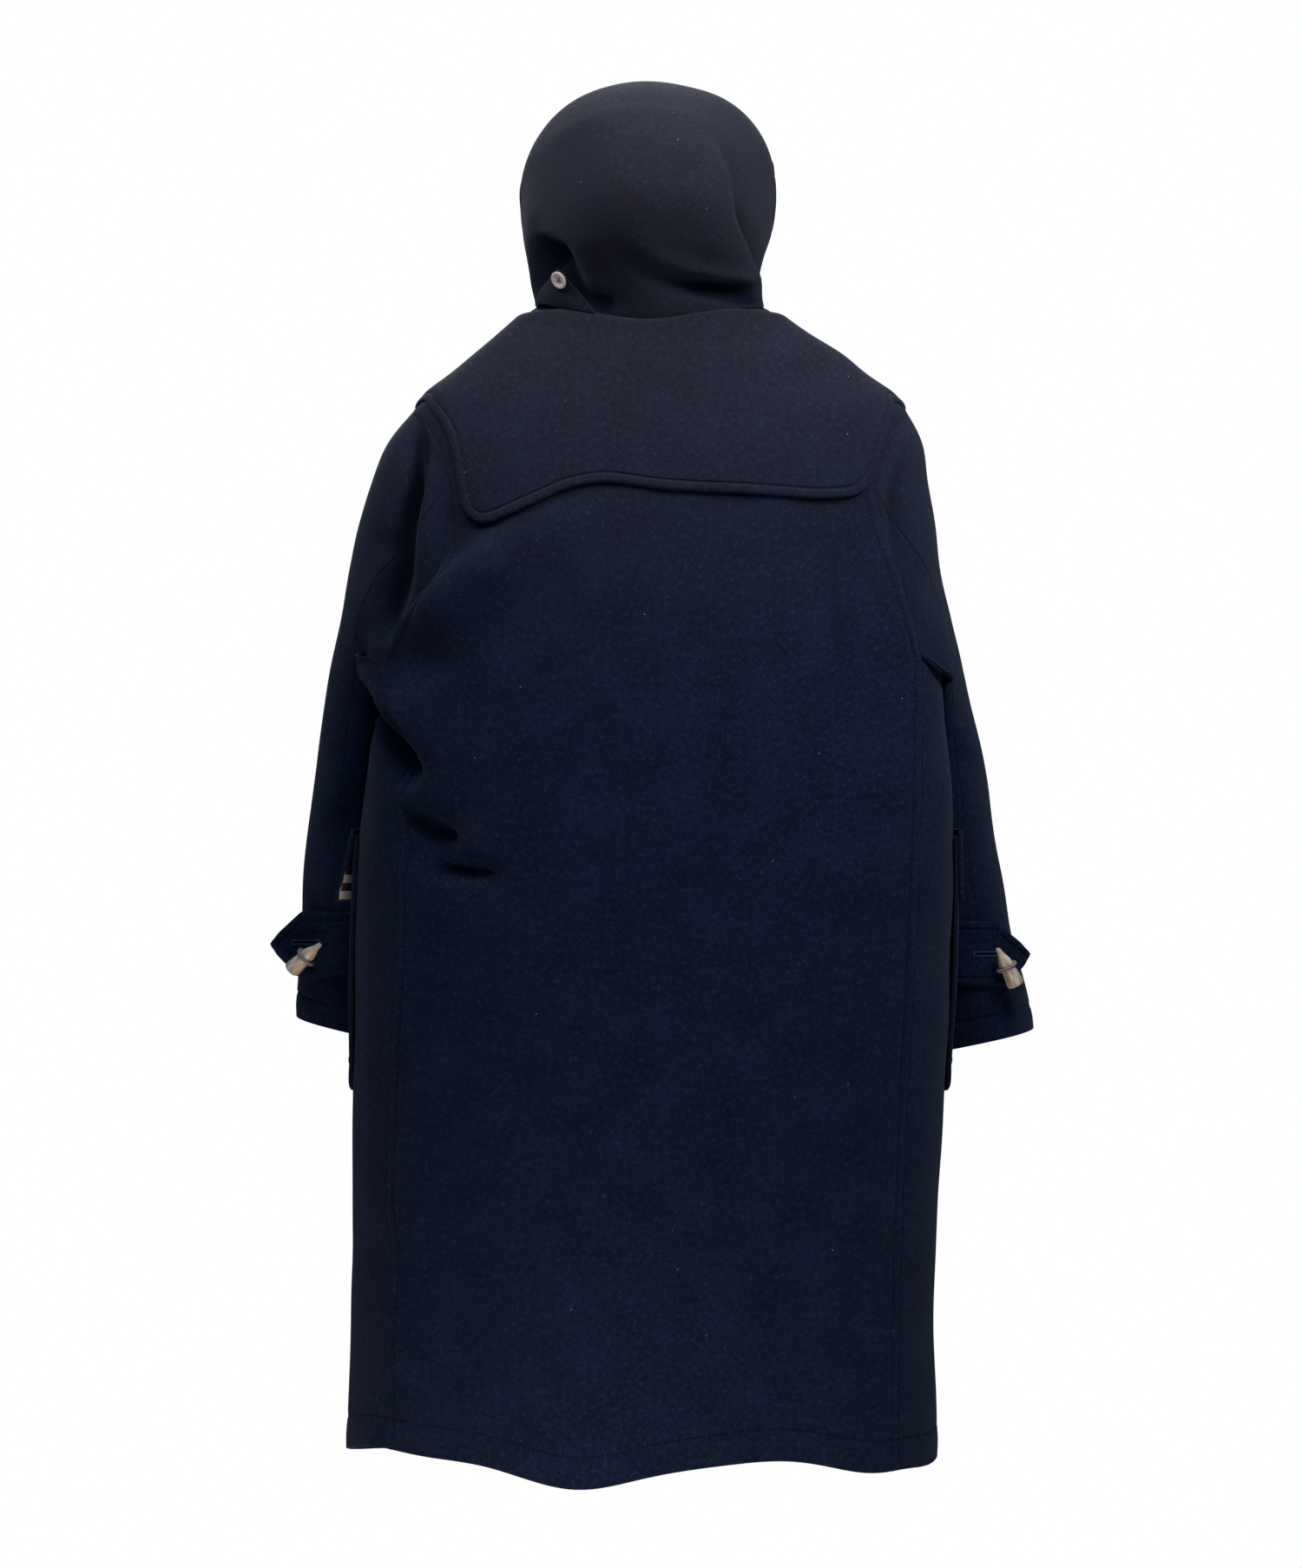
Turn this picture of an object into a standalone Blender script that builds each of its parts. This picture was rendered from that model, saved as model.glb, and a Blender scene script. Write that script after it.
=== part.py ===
"""Duffle coat with its hood up, as it hangs on a wearer. Metres, +Z up, the wearer faces -Y.

The origin is the middle of the neck, on the line between the two points where the shoulders meet the hood.
Every cloth piece is a wall with two faces. All panels of the body are cut from one surface, body(),
which is read by two numbers: a turn around the wearer (0 is the wearer's left, 90 the back) and a level
from the hem (0) to the neck (1). What lies on a panel is the same surface, moved out.
"""
import bpy
import bmesh
import numpy as np
from mathutils import Matrix, Vector
from mathutils.bvhtree import BVHTree

MM = 0.001
CLOTH = 3.0 * MM            # melton wool, one layer
GAP = 0.3 * MM              # between pieces that are sewn together
SLEEVE_CLEARANCE = 12.0 * MM  # a hanging sleeve clears the side of the coat, its pocket flap and its own strap

NAVY = (0.017, 0.024, 0.042, 1.0)
HORN = (0.36, 0.32, 0.27, 1.0)
CORD = (0.045, 0.040, 0.036, 1.0)
PATCH = (0.030, 0.024, 0.022, 1.0)

# Sections of the body, hem to neck, in mm. The z of a section differs at the side, back and front, and mid_y is
# the y of its widest place: the arms press the front half narrower than the back half.
BODY_COLUMNS = ("side_z", "left", "right", "mid_y", "back", "back_z", "front", "front_z", "back_square",
                "front_square")
BODY_SECTIONS = [
    (-1070, 281, 271, 8, 150, -1082, 156, -1074, 2.3, 2.0),
    (-900, 276, 270, 10, 148, -903, 154, -903, 2.3, 1.95),
    (-750, 274, 278, 14, 146, -751, 152, -751, 2.3, 1.9),
    (-600, 273, 286, 20, 142, -600, 150, -600, 2.3, 1.8),
    (-480, 267, 286, 26, 138, -480, 147, -480, 2.3, 1.75),
    (-400, 258, 281, 30, 134, -400, 144, -400, 2.3, 1.75),
    (-330, 249, 273, 30, 130, -330, 140, -330, 2.3, 1.75),
    (-270, 244, 266, 26, 126, -272, 134, -274, 2.3, 1.8),
    (-205, 241, 260, 18, 120, -212, 126, -218, 2.4, 1.9),
    (-150, 236, 255, 9, 112, -162, 116, -175, 2.5, 2.1),
    (-118, 228, 250, 3, 105, -132, 107, -152, 2.5, 2.2),
    (-95, 216, 241, 0, 98, -107, 101, -134, 2.5, 2.3),
    (-62, 176, 193, 0, 87, -73, 94, -108, 2.4, 2.3),
    (-30, 138, 150, 0, 76, -42, 86, -84, 2.2, 2.2),
    (0, 104, 110, 0, 65, -17, 76, -60, 2.0, 2.0),
]
SHOULDER_SECTION = 11

# Sections of a sleeve below the armhole, in mm: z, how far out its outer side hangs, half-width, half-depth, the y
# of its middle line, how much higher its outer side is than its middle, and its turn forward in degrees.
SLEEVE_COLUMNS = ("z", "outer_left", "outer_right", "half_width", "half_depth", "y", "rise", "yaw")
SLEEVE_SECTIONS = [
    (-345, 297, 296, 60, 76, -82, 0, 22),
    (-450, 312, 317, 58, 73, -100, 4, 22),
    (-560, 323, 337, 56, 69, -114, 8, 20),
    (-672, 330, 359, 54, 66, -124, 12, 16),
]
SLEEVE_TURN = 15            # degrees round the section at which the shoulder's column comes down
RING_SHIFT = 1.5            # columns of the ring between the side seam and the sleeve's inmost line
INNER_DROP = 60 * MM        # the inner side of a sleeve comes to its first section this much lower
SLEEVE_CAP_ROWS = 7
SLEEVE_ROWS = 7
CAP_SPREAD = (10, 50)       # degrees from straight down at which the sleeve leaves the underarm and the shoulder
SLEEVE_SOFTENING = 6        # how many times the rows of a sleeve are smoothed round
CREASE_CLOTH = 1.2 * MM     # the sleeve's cloth where it is creased under the arm
SLEEVE_SEAM = 8             # column of the sleeve, from the underarm, where its two pieces meet, behind and in front

# Sections of the hood, neck to face edge, in mm: the middle of each, its half-widths, the point of its back or
# crown, and the turn in degrees at which it starts beside the face.
HOOD_COLUMNS = ("centre_y", "centre_z", "left", "right", "mid_y", "mid_z", "start")
HOOD_SECTIONS = [
    (-5, 0, 104, 110, 65, -17, -60),
    (-20, 22, 109, 106, 88, 26, -54),
    (-44, 46, 113, 110, 118, 66, -38),
    (-76, 70, 117, 117, 132, 108, -16),
    (-94, 92, 119, 120, 118, 152, -2),
    (-100, 105, 120, 121, 80, 187, 4),
    (-105, 114, 117, 119, 15, 207, 8),
    (-110, 119, 113, 115, -62, 210, 10),
]
HOOD_SQUARE = 2.15
HOOD_FRONT_SHARE = 0.5      # the hood's front half is this much shallower than its back half
HOOD_SEAM_GAP = 0.8 * MM
HOOD_FOLDS = [
    (86, 62, 82, 40, 17, -13),
    (46, 3, 34, 2, 9, -7),
    (-40, 12, -96, 8, 12, -6),
    (-80, 124, -104, 40, 12, -9),
    (-66, 118, -94, 30, 12, 4),
]
HOOD_ROWS = 15
HOOD_AROUND = 24

# The yoke's edge in mm, from the left front over the left shoulder, across the back and over to the right front.
YOKE_FRONT_LEFT = [(56, -196), (100, -203), (142, -207), (158, -203), (166, -192), (174, -150), (188, -112)]
YOKE_BACK = [(204, -87), (192, -105), (181, -126), (177, -150), (174, -171), (170, -192), (161, -203), (148, -206),
             (134, -201), (117, -193), (74, -172), (44, -165), (23, -167), (-87, -176), (-160, -181),
             (-194, -179), (-204, -171), (-211, -160), (-216, -143), (-222, -124), (-226, -106), (-227, -87)]
YOKE_FRONT_RIGHT = [(-212, -112), (-194, -150), (-184, -192), (-176, -203), (-160, -207), (-120, -204), (-86, -199)]
YOKE_TOP_LEVEL = 0.995
YOKE_ROWS = 6
YOKE_AROUND = 54
YOKE_GAP = 4.0 * MM         # below the yoke, whose flat facets cross those of the panels

POCKET = {"turns": (3, -52), "top": -0.494, "bottom": -0.733, "corner": 0.030, "lift": 1.4 * MM, "across": 12}
FLAP = {"turns": (3, -52), "top": -0.488, "bottom": -0.557, "corner": 0.012, "lift": 5.4 * MM, "across": 12}

STRAP = {"start": 122, "leave": 82, "free_left": 0.056, "free_right": 0.040, "height": 0.061, "point": 0.030,
         "thickness": 4.0 * MM, "lift": 1.2 * MM, "z_left": -0.5965, "z_right": -0.6055}
TOGGLE = {"length": 0.040, "fat": 0.0085, "waist": 0.0062, "tip": 0.0035, "cord": 0.0014}
FRONT_TOGGLE = {"length": 0.050, "fat": 0.0085, "waist": 0.0062, "tip": 0.0040, "cord": 0.0014}
FRONT_TOGGLE_HEIGHTS = (-0.235, -0.355, -0.475, -0.595)
FRONT_TOGGLE_X = -0.0222
FRONT_PATCH = {"width": 0.036, "height": 0.034, "thickness": 2.0 * MM, "lift": 1.0 * MM,
               "left_x": 0.048, "right_x": -0.092}
# Half of each front loop, from its patch to the toggle's waist, in mm: x, how far above or below the toggle, and
# how far out from the body.
LOOP_COLUMNS = ("x", "aside", "out")
LEFT_LOOP = [(40, 6, 9.3), (12, 11, 9.0), (-10, 10.5, 8.6), (-19.5, 6, 8.2), (-20.5, 0, 8.2)]
RIGHT_LOOP = [(-85, 6, 4.9), (-52, 9, 6.6), (-36, 9, 8.0), (-25, 6, 8.2), (-24, 0, 8.2)]
TURNED_STEPS = 10
TAB_GRID = 8
TAB_GAP = (1.5 * MM, 3.2 * MM)  # below the hood tab, at its base and further up
BUTTON = {"x": 0.0765, "z": 0.0275, "radius": 0.0084, "thickness": 0.0030}

# Soft ridges (height above 0) and troughs of the back, as lines seen from behind, in mm.
FOLD_COLUMNS = ("start_x", "start_z", "end_x", "end_z", "width", "height")
BACK_FOLDS = [
    (70, -200, 172, -258, 26, 7),
    (136, -248, 180, -284, 20, 12),
    (188, -376, 222, -430, 22, -6),
    (176, -474, 222, -502, 17, -8),
    (146, -532, 200, -516, 14, -7),
    (-184, -228, -172, -396, 30, -6),
    (236, -885, 100, -1020, 30, -7),
    (70, -960, 64, -1110, 62, 14),
    (-116, -900, -118, -1110, 48, -10),
    (205, -940, 225, -1110, 42, -6),
]
HEM_COLUMNS = ("x", "width", "drop")
HEM_WAVES = [(68, 70, 20), (-118, 60, -8), (-230, 45, 10), (262, 40, -6)]
HEM_REACH = 160 * MM        # how far above the hem its waves die out

# Seams as seen from behind or from the front, x and z in mm.
SIDE_SEAM_COLUMNS = ("z", "left", "right")
SIDE_SEAM = [(-1076, 246, 234), (-900, 244, 236), (-750, 240, 242), (-560, 233, 252), (-430, 233, 256),
             (-330, 235, 256)]
ARMHOLE_BACK = [(-330, 235, 256), (-296, 216, 245), (-250, 190, 231), (-205, 186, 218), (-165, 190, 212),
                (-132, 199, 222), (-110, 209, 233)]
ARMHOLE_FRONT = [(-312, 234, 256), (-274, 207, 230), (-236, 186, 206), (-200, 177, 196), (-165, 183, 202),
                 (-132, 196, 217), (-110, 207, 231)]

ROWS_SKIRT = 14
ROWS_ARMHOLE = 14
ROWS_SHOULDER = 4
BACK_COLUMNS = 22
FRONT_COLUMNS = 10
UNDERARM_DIP = 0.025        # how much lower, in levels, the row that ends at the underarm runs in mid-panel

FRONT_OVERLAP = 42 * MM     # the left front passes the middle by this much, and the right front too
LAP_GAP = 1.4 * MM          # between the two fronts where they lap
LAP_FADE = (38, 68)         # degrees from the middle over which the lapped edge comes to the surface


def table(columns, rows):
    values = np.array(rows, dtype=float)
    return {name: values[:, i] for i, name in enumerate(columns)}


def blend(knots, values, at):
    """Smooth curve through the values, with the slope at each knot taken from its neighbours."""
    slopes = np.gradient(values, knots)
    at = np.clip(at, knots[0], knots[-1])
    i = np.clip(np.searchsorted(knots, at, side="right") - 1, 0, len(knots) - 2)
    span = knots[i + 1] - knots[i]
    t = (at - knots[i]) / span
    return ((2 * t**3 - 3 * t**2 + 1) * values[i] + (t**3 - 2 * t**2 + t) * span * slopes[i]
            + (3 * t**2 - 2 * t**3) * values[i + 1] + (t**3 - t**2) * span * slopes[i + 1])


def ease(low, high, at):
    t = np.clip((at - low) / (high - low), 0, 1)
    return t * t * (3 - 2 * t)


SECTIONS = table(BODY_COLUMNS, BODY_SECTIONS)
for length_column in BODY_COLUMNS[:8]:
    SECTIONS[length_column] = SECTIONS[length_column] * MM
BACK_RUN = np.hypot(np.diff(SECTIONS["back"]), np.diff(SECTIONS["back_z"]))
SIDE_RUN = np.hypot(np.diff(SECTIONS["left"]), np.diff(SECTIONS["side_z"]))
LEVELS = np.concatenate([[0], np.cumsum(BACK_RUN + SIDE_RUN)])
LEVELS = LEVELS / LEVELS[-1]
SHOULDER_LEVEL = LEVELS[SHOULDER_SECTION]
FOLDS = table(FOLD_COLUMNS, BACK_FOLDS)
WAVES = table(HEM_COLUMNS, HEM_WAVES)


def section(level, turn):
    """Half-width, half-depth, squareness, height and middle of the section, for each turn in degrees."""
    value = {name: blend(LEVELS, SECTIONS[name], level) for name in BODY_COLUMNS}
    behind = np.sin(np.radians(turn)) >= 0
    width = np.where(np.cos(np.radians(turn)) >= 0, value["left"], value["right"])
    depth = np.where(behind, value["back"] - value["mid_y"], value["front"] + value["mid_y"])
    square = np.where(behind, value["back_square"], value["front_square"])
    mid_z = np.where(behind, value["back_z"], value["front_z"])
    height = value["side_z"] + (mid_z - value["side_z"]) * np.sin(np.radians(turn)) ** 2
    return width, depth, square, height, value["mid_y"]


def drape(x, z, turn):
    """How far the folds of the back stand out at a place seen from behind."""
    out = np.zeros(np.broadcast(x, z).shape)
    for x0, z0, x1, z1, width, height in zip(*(FOLDS[name] * MM for name in FOLD_COLUMNS)):
        along = np.clip(((x - x0) * (x1 - x0) + (z - z0) * (z1 - z0)) / ((x1 - x0) ** 2 + (z1 - z0) ** 2), 0, 1)
        away = np.hypot(x - x0 - along * (x1 - x0), z - z0 - along * (z1 - z0))
        out = out + height * np.exp(-((away / width) ** 2))
    return out * ease(-25, 5, np.degrees(np.arcsin(np.sin(np.radians(turn)))))


def body(turn, level, lift=0.0):
    """Outer surface of the body at a turn in degrees and a level, moved out by the lift."""
    turn, level = np.broadcast_arrays(np.asarray(turn, float), np.asarray(level, float))
    point = body_surface(turn, level)
    return point + body_normal(turn, level) * np.asarray(lift)[..., None] if np.any(lift) else point


def body_surface(turn, level, folds=1.0):
    width, depth, square, z, mid_y = section(level, turn)
    c, s = np.cos(np.radians(turn)), np.sin(np.radians(turn))
    radius = ((np.abs(c) / width) ** square + (np.abs(s) / depth) ** square) ** (-1 / square)
    radius = radius + folds * drape(radius * c, z, turn)
    hem = 1 - ease(0, 1, (z - SECTIONS["side_z"][0]) / HEM_REACH)
    for x0, spread, drop in zip(*(WAVES[name] * MM for name in HEM_COLUMNS)):
        z = z - drop * hem * ease(-0.2, 0.3, s) * np.exp(-(((radius * c - x0) / spread) ** 2))
    return np.stack([radius * c, mid_y + radius * s, z], axis=-1)


def body_normal(turn, level):
    step_turn, step_level = 0.6, 0.004
    low, high = np.clip(level - step_level, 0, 1), np.clip(level + step_level, 0, 1)
    around = body_surface(turn + step_turn, level) - body_surface(turn - step_turn, level)
    up = body_surface(turn, high) - body_surface(turn, low)
    return unit(np.cross(around, up))


def unit(vectors):
    return vectors / np.linalg.norm(vectors, axis=-1, keepdims=True)


def level_at(turn, z):
    """The level at which the body has this height, by halving the range 30 times."""
    low, high = np.zeros(np.shape(turn)), np.ones(np.shape(turn))
    for _ in range(30):
        middle = (low + high) / 2
        below = section(middle, turn)[3] < z
        low, high = np.where(below, middle, low), np.where(below, high, middle)
    return (low + high) / 2


def find(x, z, behind):
    """The turn and level of the place at x and z, seen from behind or from the front."""
    turn = np.where(x > 0, 45.0, 135.0) * (1 if behind else -1) * np.ones(np.shape(x))
    for _ in range(12):
        level = level_at(turn, z)
        width, depth, square = section(level, turn)[:3]
        across = np.clip(np.abs(x) / width, 0, 0.9999)
        y = depth * (1 - across**square) ** (1 / square)
        turn = np.degrees(np.arctan2(y if behind else -y, x))
    return turn, level


def side_value(turn_left, side):
    """Mirrors a turn given for the wearer's left."""
    return turn_left if side > 0 else 180 - turn_left


def seam_curve(rows, side, behind):
    values = table(SIDE_SEAM_COLUMNS, rows)
    across = values["left"] if side > 0 else -values["right"]
    return find(across * MM, values["z"] * MM, behind)


def edge_of_armhole(side, behind):
    """Turn and level along one half of the armhole, from the underarm to the shoulder."""
    under_turn, under_level = seam_curve(ARMHOLE_BACK[:1], side, True)
    turn, level = seam_curve(ARMHOLE_BACK[1:] if behind else ARMHOLE_FRONT, side, behind)
    if side < 0:
        turn = np.where(turn < 0, turn + 360, turn)
    turn = np.concatenate([under_turn, turn, [side_value(0, side)]])
    level = np.concatenate([under_level, level, [SHOULDER_LEVEL]])
    point = body_surface(turn, level)
    run = np.concatenate([[0], np.cumsum(np.linalg.norm(np.diff(point, axis=0), axis=1))])
    at = np.linspace(0, run[-1], ROWS_ARMHOLE + 1)
    return blend(run, turn, at), blend(run, level, at)


def panel_edge(side, behind):
    """Turn and level of a panel's outer edge, hem to neck: side seam, armhole, shoulder seam."""
    seam_turn, seam_level = seam_curve(SIDE_SEAM, side, True)
    arm_turn, arm_level = edge_of_armhole(side, behind)
    skirt_level = np.linspace(0, arm_level[0], ROWS_SKIRT + 1)[:-1]
    skirt_turn = blend(seam_level, seam_turn, np.clip(skirt_level, seam_level[0], None))
    top_level = np.linspace(SHOULDER_LEVEL, 1, ROWS_SHOULDER + 1)[1:]
    top_turn = np.full(ROWS_SHOULDER, float(side_value(0, side)))
    return (np.concatenate([skirt_turn, arm_turn, top_turn]),
            np.concatenate([skirt_level, arm_level, top_level]))


def armhole_ring(side):
    """Points round the armhole from the underarm up the back and down the front, and the way out of it."""
    back, front = (body_surface(*edge_of_armhole(side, behind)) for behind in (True, False))
    ring = np.concatenate([back, front[-2:0:-1]])
    along = unit(np.roll(ring, -1, axis=0) - np.roll(ring, 1, axis=0))
    away = unit(np.cross(along, (ring.mean(axis=0) - ring) * (0.25, 1, 1)))
    return ring, away * np.sign(away[:, :1]) * side


def armhole_away(side, behind):
    """The way out of the armhole at each point of one half of it, from the underarm to the shoulder."""
    away = armhole_ring(side)[1]
    return away[:ROWS_ARMHOLE + 1] if behind else np.roll(away[::-1], 1, axis=0)[:ROWS_ARMHOLE + 1]


def held_back(inner, outer, away):
    """Keeps the inner side of a cut edge on its own side of the seam."""
    past = np.clip(((inner - outer) * away).sum(axis=-1, keepdims=True), 0, None)
    return inner - past * away


def middle_levels(edge_level):
    """Levels of a panel's rows at its middle: the rows of the armhole spread out evenly."""
    under, shoulder = ROWS_SKIRT, ROWS_SKIRT + ROWS_ARMHOLE
    row = np.arange(len(edge_level))
    return np.interp(row, [0, under, shoulder, len(edge_level) - 1],
                     [0, edge_level[under] - UNDERARM_DIP, SHOULDER_LEVEL, 1])


def cloth(name, outer, inner, material, smooth=True):
    """Closed wall between two grids of points that have the same rows and columns."""
    rows, columns = outer.shape[:2]
    index = np.arange(rows * columns).reshape(rows, columns)
    faces = []
    for offset, flip in ((0, False), (rows * columns, True)):
        sheet = index + offset
        quads = np.stack([sheet[:-1, :-1], sheet[:-1, 1:], sheet[1:, 1:], sheet[1:, :-1]], axis=-1).reshape(-1, 4)
        faces += (quads[:, ::-1] if flip else quads).tolist()
    border = np.concatenate([index[0, :-1], index[:-1, -1], index[-1, :0:-1], index[:0:-1, 0]])
    for a, b in zip(border, np.roll(border, -1)):
        faces.append([int(b), int(a), int(a) + rows * columns, int(b) + rows * columns])
    points = np.concatenate([outer.reshape(-1, 3), inner.reshape(-1, 3)])
    mesh = bpy.data.meshes.new(name)
    mesh.from_pydata(points.tolist(), [], faces)
    return finished(name, mesh, material, smooth)


def finished(name, mesh, material, smooth=True):
    work = bmesh.new()
    work.from_mesh(mesh)
    bmesh.ops.recalc_face_normals(work, faces=work.faces)
    work.to_mesh(mesh)
    work.free()
    for polygon in mesh.polygons:
        polygon.use_smooth = smooth
    mesh.materials.append(material)
    thing = bpy.data.objects.new(name, mesh)
    coat.objects.link(thing)
    return thing


def finish(name, colour, roughness):
    material = bpy.data.materials.new(name)
    material.use_nodes = True
    surface = material.node_tree.nodes["Principled BSDF"]
    surface.inputs["Base Color"].default_value = colour
    surface.inputs["Roughness"].default_value = roughness
    surface.inputs["Metallic"].default_value = 0.0
    material.diffuse_color = colour
    return material


def level_direction(points):
    """Level direction away from the middle of the neck."""
    return unit(points * (1, 1, 0))


def gap_turn(point, share=0.5):
    """The turn in degrees that makes this share of a seam's gap at a point of the body."""
    return np.degrees(share * GAP / np.hypot(point[..., 0], point[..., 1]))


def make_back():
    left_turn, left_level = panel_edge(1, True)
    right_turn, right_level = panel_edge(-1, True)
    left_turn = left_turn + gap_turn(body_surface(left_turn, left_level))
    right_turn = right_turn - gap_turn(body_surface(right_turn, right_level))
    across = np.linspace(0, 1, BACK_COLUMNS + 1)
    turn = left_turn[:, None] * (1 - across) + right_turn[:, None] * across
    edge_level = left_level[:, None] * (1 - across) + right_level[:, None] * across
    mid = middle_levels((left_level + right_level) / 2)[:, None]
    level = mid + (edge_level - mid) * np.abs(2 * across - 1) ** 3
    outer, inner = body(turn, level), body(turn, level, -CLOTH)
    arm = slice(ROWS_SKIRT, ROWS_SKIRT + ROWS_ARMHOLE + 1)
    inner[arm, 0] = held_back(inner[arm, 0], outer[arm, 0], armhole_away(1, True))
    inner[arm, -1] = held_back(inner[arm, -1], outer[arm, -1], armhole_away(-1, True))
    inner[-1] = outer[-1] - CLOTH * level_direction(outer[-1])
    cloth("back", outer, inner, finish("back_wool", NAVY, 0.9))


def front_lap(turn, side):
    """How far the left front lies out over the right one near the middle."""
    away = np.abs(turn + 90 if side > 0 else turn - 270)
    return (1 - ease(*LAP_FADE, away)) * (CLOTH + LAP_GAP) if side > 0 else np.zeros(np.shape(turn))


def make_front(name, side):
    edge_turn, edge_level = panel_edge(side, False)
    edge_turn = edge_turn - side * gap_turn(body_surface(edge_turn, edge_level))
    middle_level = middle_levels(edge_level)
    depth = blend(LEVELS, SECTIONS["front"], middle_level)
    middle_turn = (-90 if side > 0 else 270) - side * np.degrees(np.arctan2(FRONT_OVERLAP, depth))
    across = np.linspace(0, 1, FRONT_COLUMNS + 1)
    turn = middle_turn[:, None] * (1 - across) + edge_turn[:, None] * across
    level = middle_level[:, None] + (edge_level - middle_level)[:, None] * across**3
    lift = front_lap(turn, side)
    outer, inner = body(turn, level, lift), body(turn, level, lift - CLOTH)
    arm = slice(ROWS_SKIRT, ROWS_SKIRT + ROWS_ARMHOLE + 1)
    inner[arm, -1] = held_back(inner[arm, -1], outer[arm, -1], armhole_away(side, False))
    inner[-1] = outer[-1] - CLOTH * level_direction(outer[-1])
    cloth(name, outer, inner, finish(name + "_wool", NAVY, 0.9))


def sleeve_section(side, z, around):
    """Point of the sleeve's own section; around is 0 on the outer side, 90 behind, in degrees."""
    sections = table(SLEEVE_COLUMNS, SLEEVE_SECTIONS)
    order = slice(None, None, -1)
    at = {name: blend(sections["z"][order] * MM, sections[name][order], z) for name in SLEEVE_COLUMNS}
    c, s = np.cos(np.radians(around)), np.sin(np.radians(around))
    turned_c, turned_s = np.cos(np.radians(at["yaw"])), np.sin(np.radians(at["yaw"]))
    reach = np.hypot(at["half_width"] * turned_c, at["half_depth"] * turned_s)
    x = (at["outer_left"] if side > 0 else at["outer_right"]) - reach
    x = x + at["half_width"] * c * turned_c + at["half_depth"] * s * turned_s
    y = at["y"] - at["half_width"] * c * turned_s + at["half_depth"] * s * turned_c
    return np.stack(np.broadcast_arrays(side * x * MM, y * MM, z + at["rise"] * c * MM), axis=-1)


def to_sleeve_place(points, side):
    """Turn, height and distance out from the body's wall of points beside it."""
    z = points[..., 2]
    mid_y = section(level_at(np.zeros(z.shape), z), np.zeros(z.shape))[4]
    turn = np.degrees(np.arctan2(points[..., 1] - mid_y, points[..., 0]))
    turn = np.where((side < 0) & (turn < 0), turn + 360, turn)
    wall = body_surface(turn, level_at(turn, z), 0)
    out = np.hypot(points[..., 0], points[..., 1] - mid_y) - np.hypot(wall[..., 0], wall[..., 1] - mid_y)
    return np.stack([turn, z, out], axis=-1)


def from_sleeve_place(place):
    turn, z, out = np.moveaxis(place, -1, 0)
    mid_y = section(level_at(np.zeros(z.shape), z), np.zeros(z.shape))[4]
    wall = body_surface(turn, level_at(turn, z), 0)
    reach = np.hypot(wall[..., 0], wall[..., 1] - mid_y) + out
    return np.stack([reach * np.cos(np.radians(turn)), mid_y + reach * np.sin(np.radians(turn)), z], axis=-1)


def kept_clear(place, room):
    """Moves places nearer the wall than this room out, and eases the bend where that starts."""
    bend = 0.012
    out = room + bend * np.log1p(np.exp((place[..., 2] - room) / bend))
    return np.stack([place[..., 0], place[..., 1], out], axis=-1)


def sleeve_grid(side):
    """Outer and inner points of a whole sleeve, a row for each section and a column for each armhole point."""
    ring, away = armhole_ring(side)
    count = len(ring)
    around = SLEEVE_TURN + np.interp(np.arange(count), [-RING_SHIFT, ROWS_ARMHOLE, count - RING_SHIFT],
                                     [180, 0, -180])
    start = ring + GAP * away
    height = (ring[:, 2] - ring[:, 2].min()) / np.ptp(ring[:, 2])
    spread = np.radians(CAP_SPREAD[0] + (CAP_SPREAD[1] - CAP_SPREAD[0]) * height)
    leave = away * np.sin(spread)[:, None] - np.outer(np.cos(spread), (0, 0, 1))
    first_z = SLEEVE_SECTIONS[0][0] * MM - INNER_DROP * (1 - np.cos(np.radians(around))) / 2
    last_z = SLEEVE_SECTIONS[-1][0] * MM
    z = first_z + (last_z - first_z) * np.linspace(0, 1, SLEEVE_ROWS + 1)[:, None]
    tube = kept_clear(to_sleeve_place(sleeve_section(side, z, around), side), SLEEVE_CLEARANCE)
    step = 0.004
    begin, end = to_sleeve_place(start, side), tube[0]
    reach = np.linalg.norm(from_sleeve_place(end) - start, axis=1, keepdims=True)
    leaving = (to_sleeve_place(start + leave * step, side) - begin) / step * reach
    arriving = (tube[1] - tube[0]) / (z[0] - z[1])[:, None] * reach
    t = np.linspace(0, 1, SLEEVE_CAP_ROWS + 1)[:-1, None, None]
    cap = ((2 * t**3 - 3 * t**2 + 1) * begin + (t**3 - 2 * t**2 + t) * leaving
           + (3 * t**2 - 2 * t**3) * end + (t**3 - t**2) * arriving)
    place = np.concatenate([cap, tube])
    row = np.arange(len(place))[:, None, None]
    share = 0.5 * ease(0, 3, row) * (1 - ease(SLEEVE_CAP_ROWS, SLEEVE_CAP_ROWS + 3, row))
    least = GAP + (SLEEVE_CLEARANCE - GAP) * np.clip(row[..., 0] / 4, 0, 1)
    for _ in range(SLEEVE_SOFTENING):
        place[..., 2] = np.where(place[..., 1] < begin[:, 1], np.maximum(place[..., 2], least), place[..., 2])
        place = place + share * ((np.roll(place, 1, axis=1) + np.roll(place, -1, axis=1)) / 2 - place)
    outer = from_sleeve_place(place)
    outer[0] = start
    across = np.roll(outer, -1, axis=1) - np.roll(outer, 1, axis=1)
    normal = unit(np.cross(across, np.gradient(outer, axis=0)))
    normal = normal * np.sign(((outer - outer.mean(axis=1, keepdims=True)) * normal).sum())
    from_seam = np.minimum(np.arange(count), count - np.arange(count))
    creased = (1 - ease(3, 7, np.arange(len(outer))))[:, None] * (1 - ease(4, 8, from_seam))
    inner = outer - (CLOTH - (CLOTH - CREASE_CLOTH) * creased)[..., None] * normal
    inner[0] = held_back(inner[0], outer[0], -away)
    return outer, inner


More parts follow.
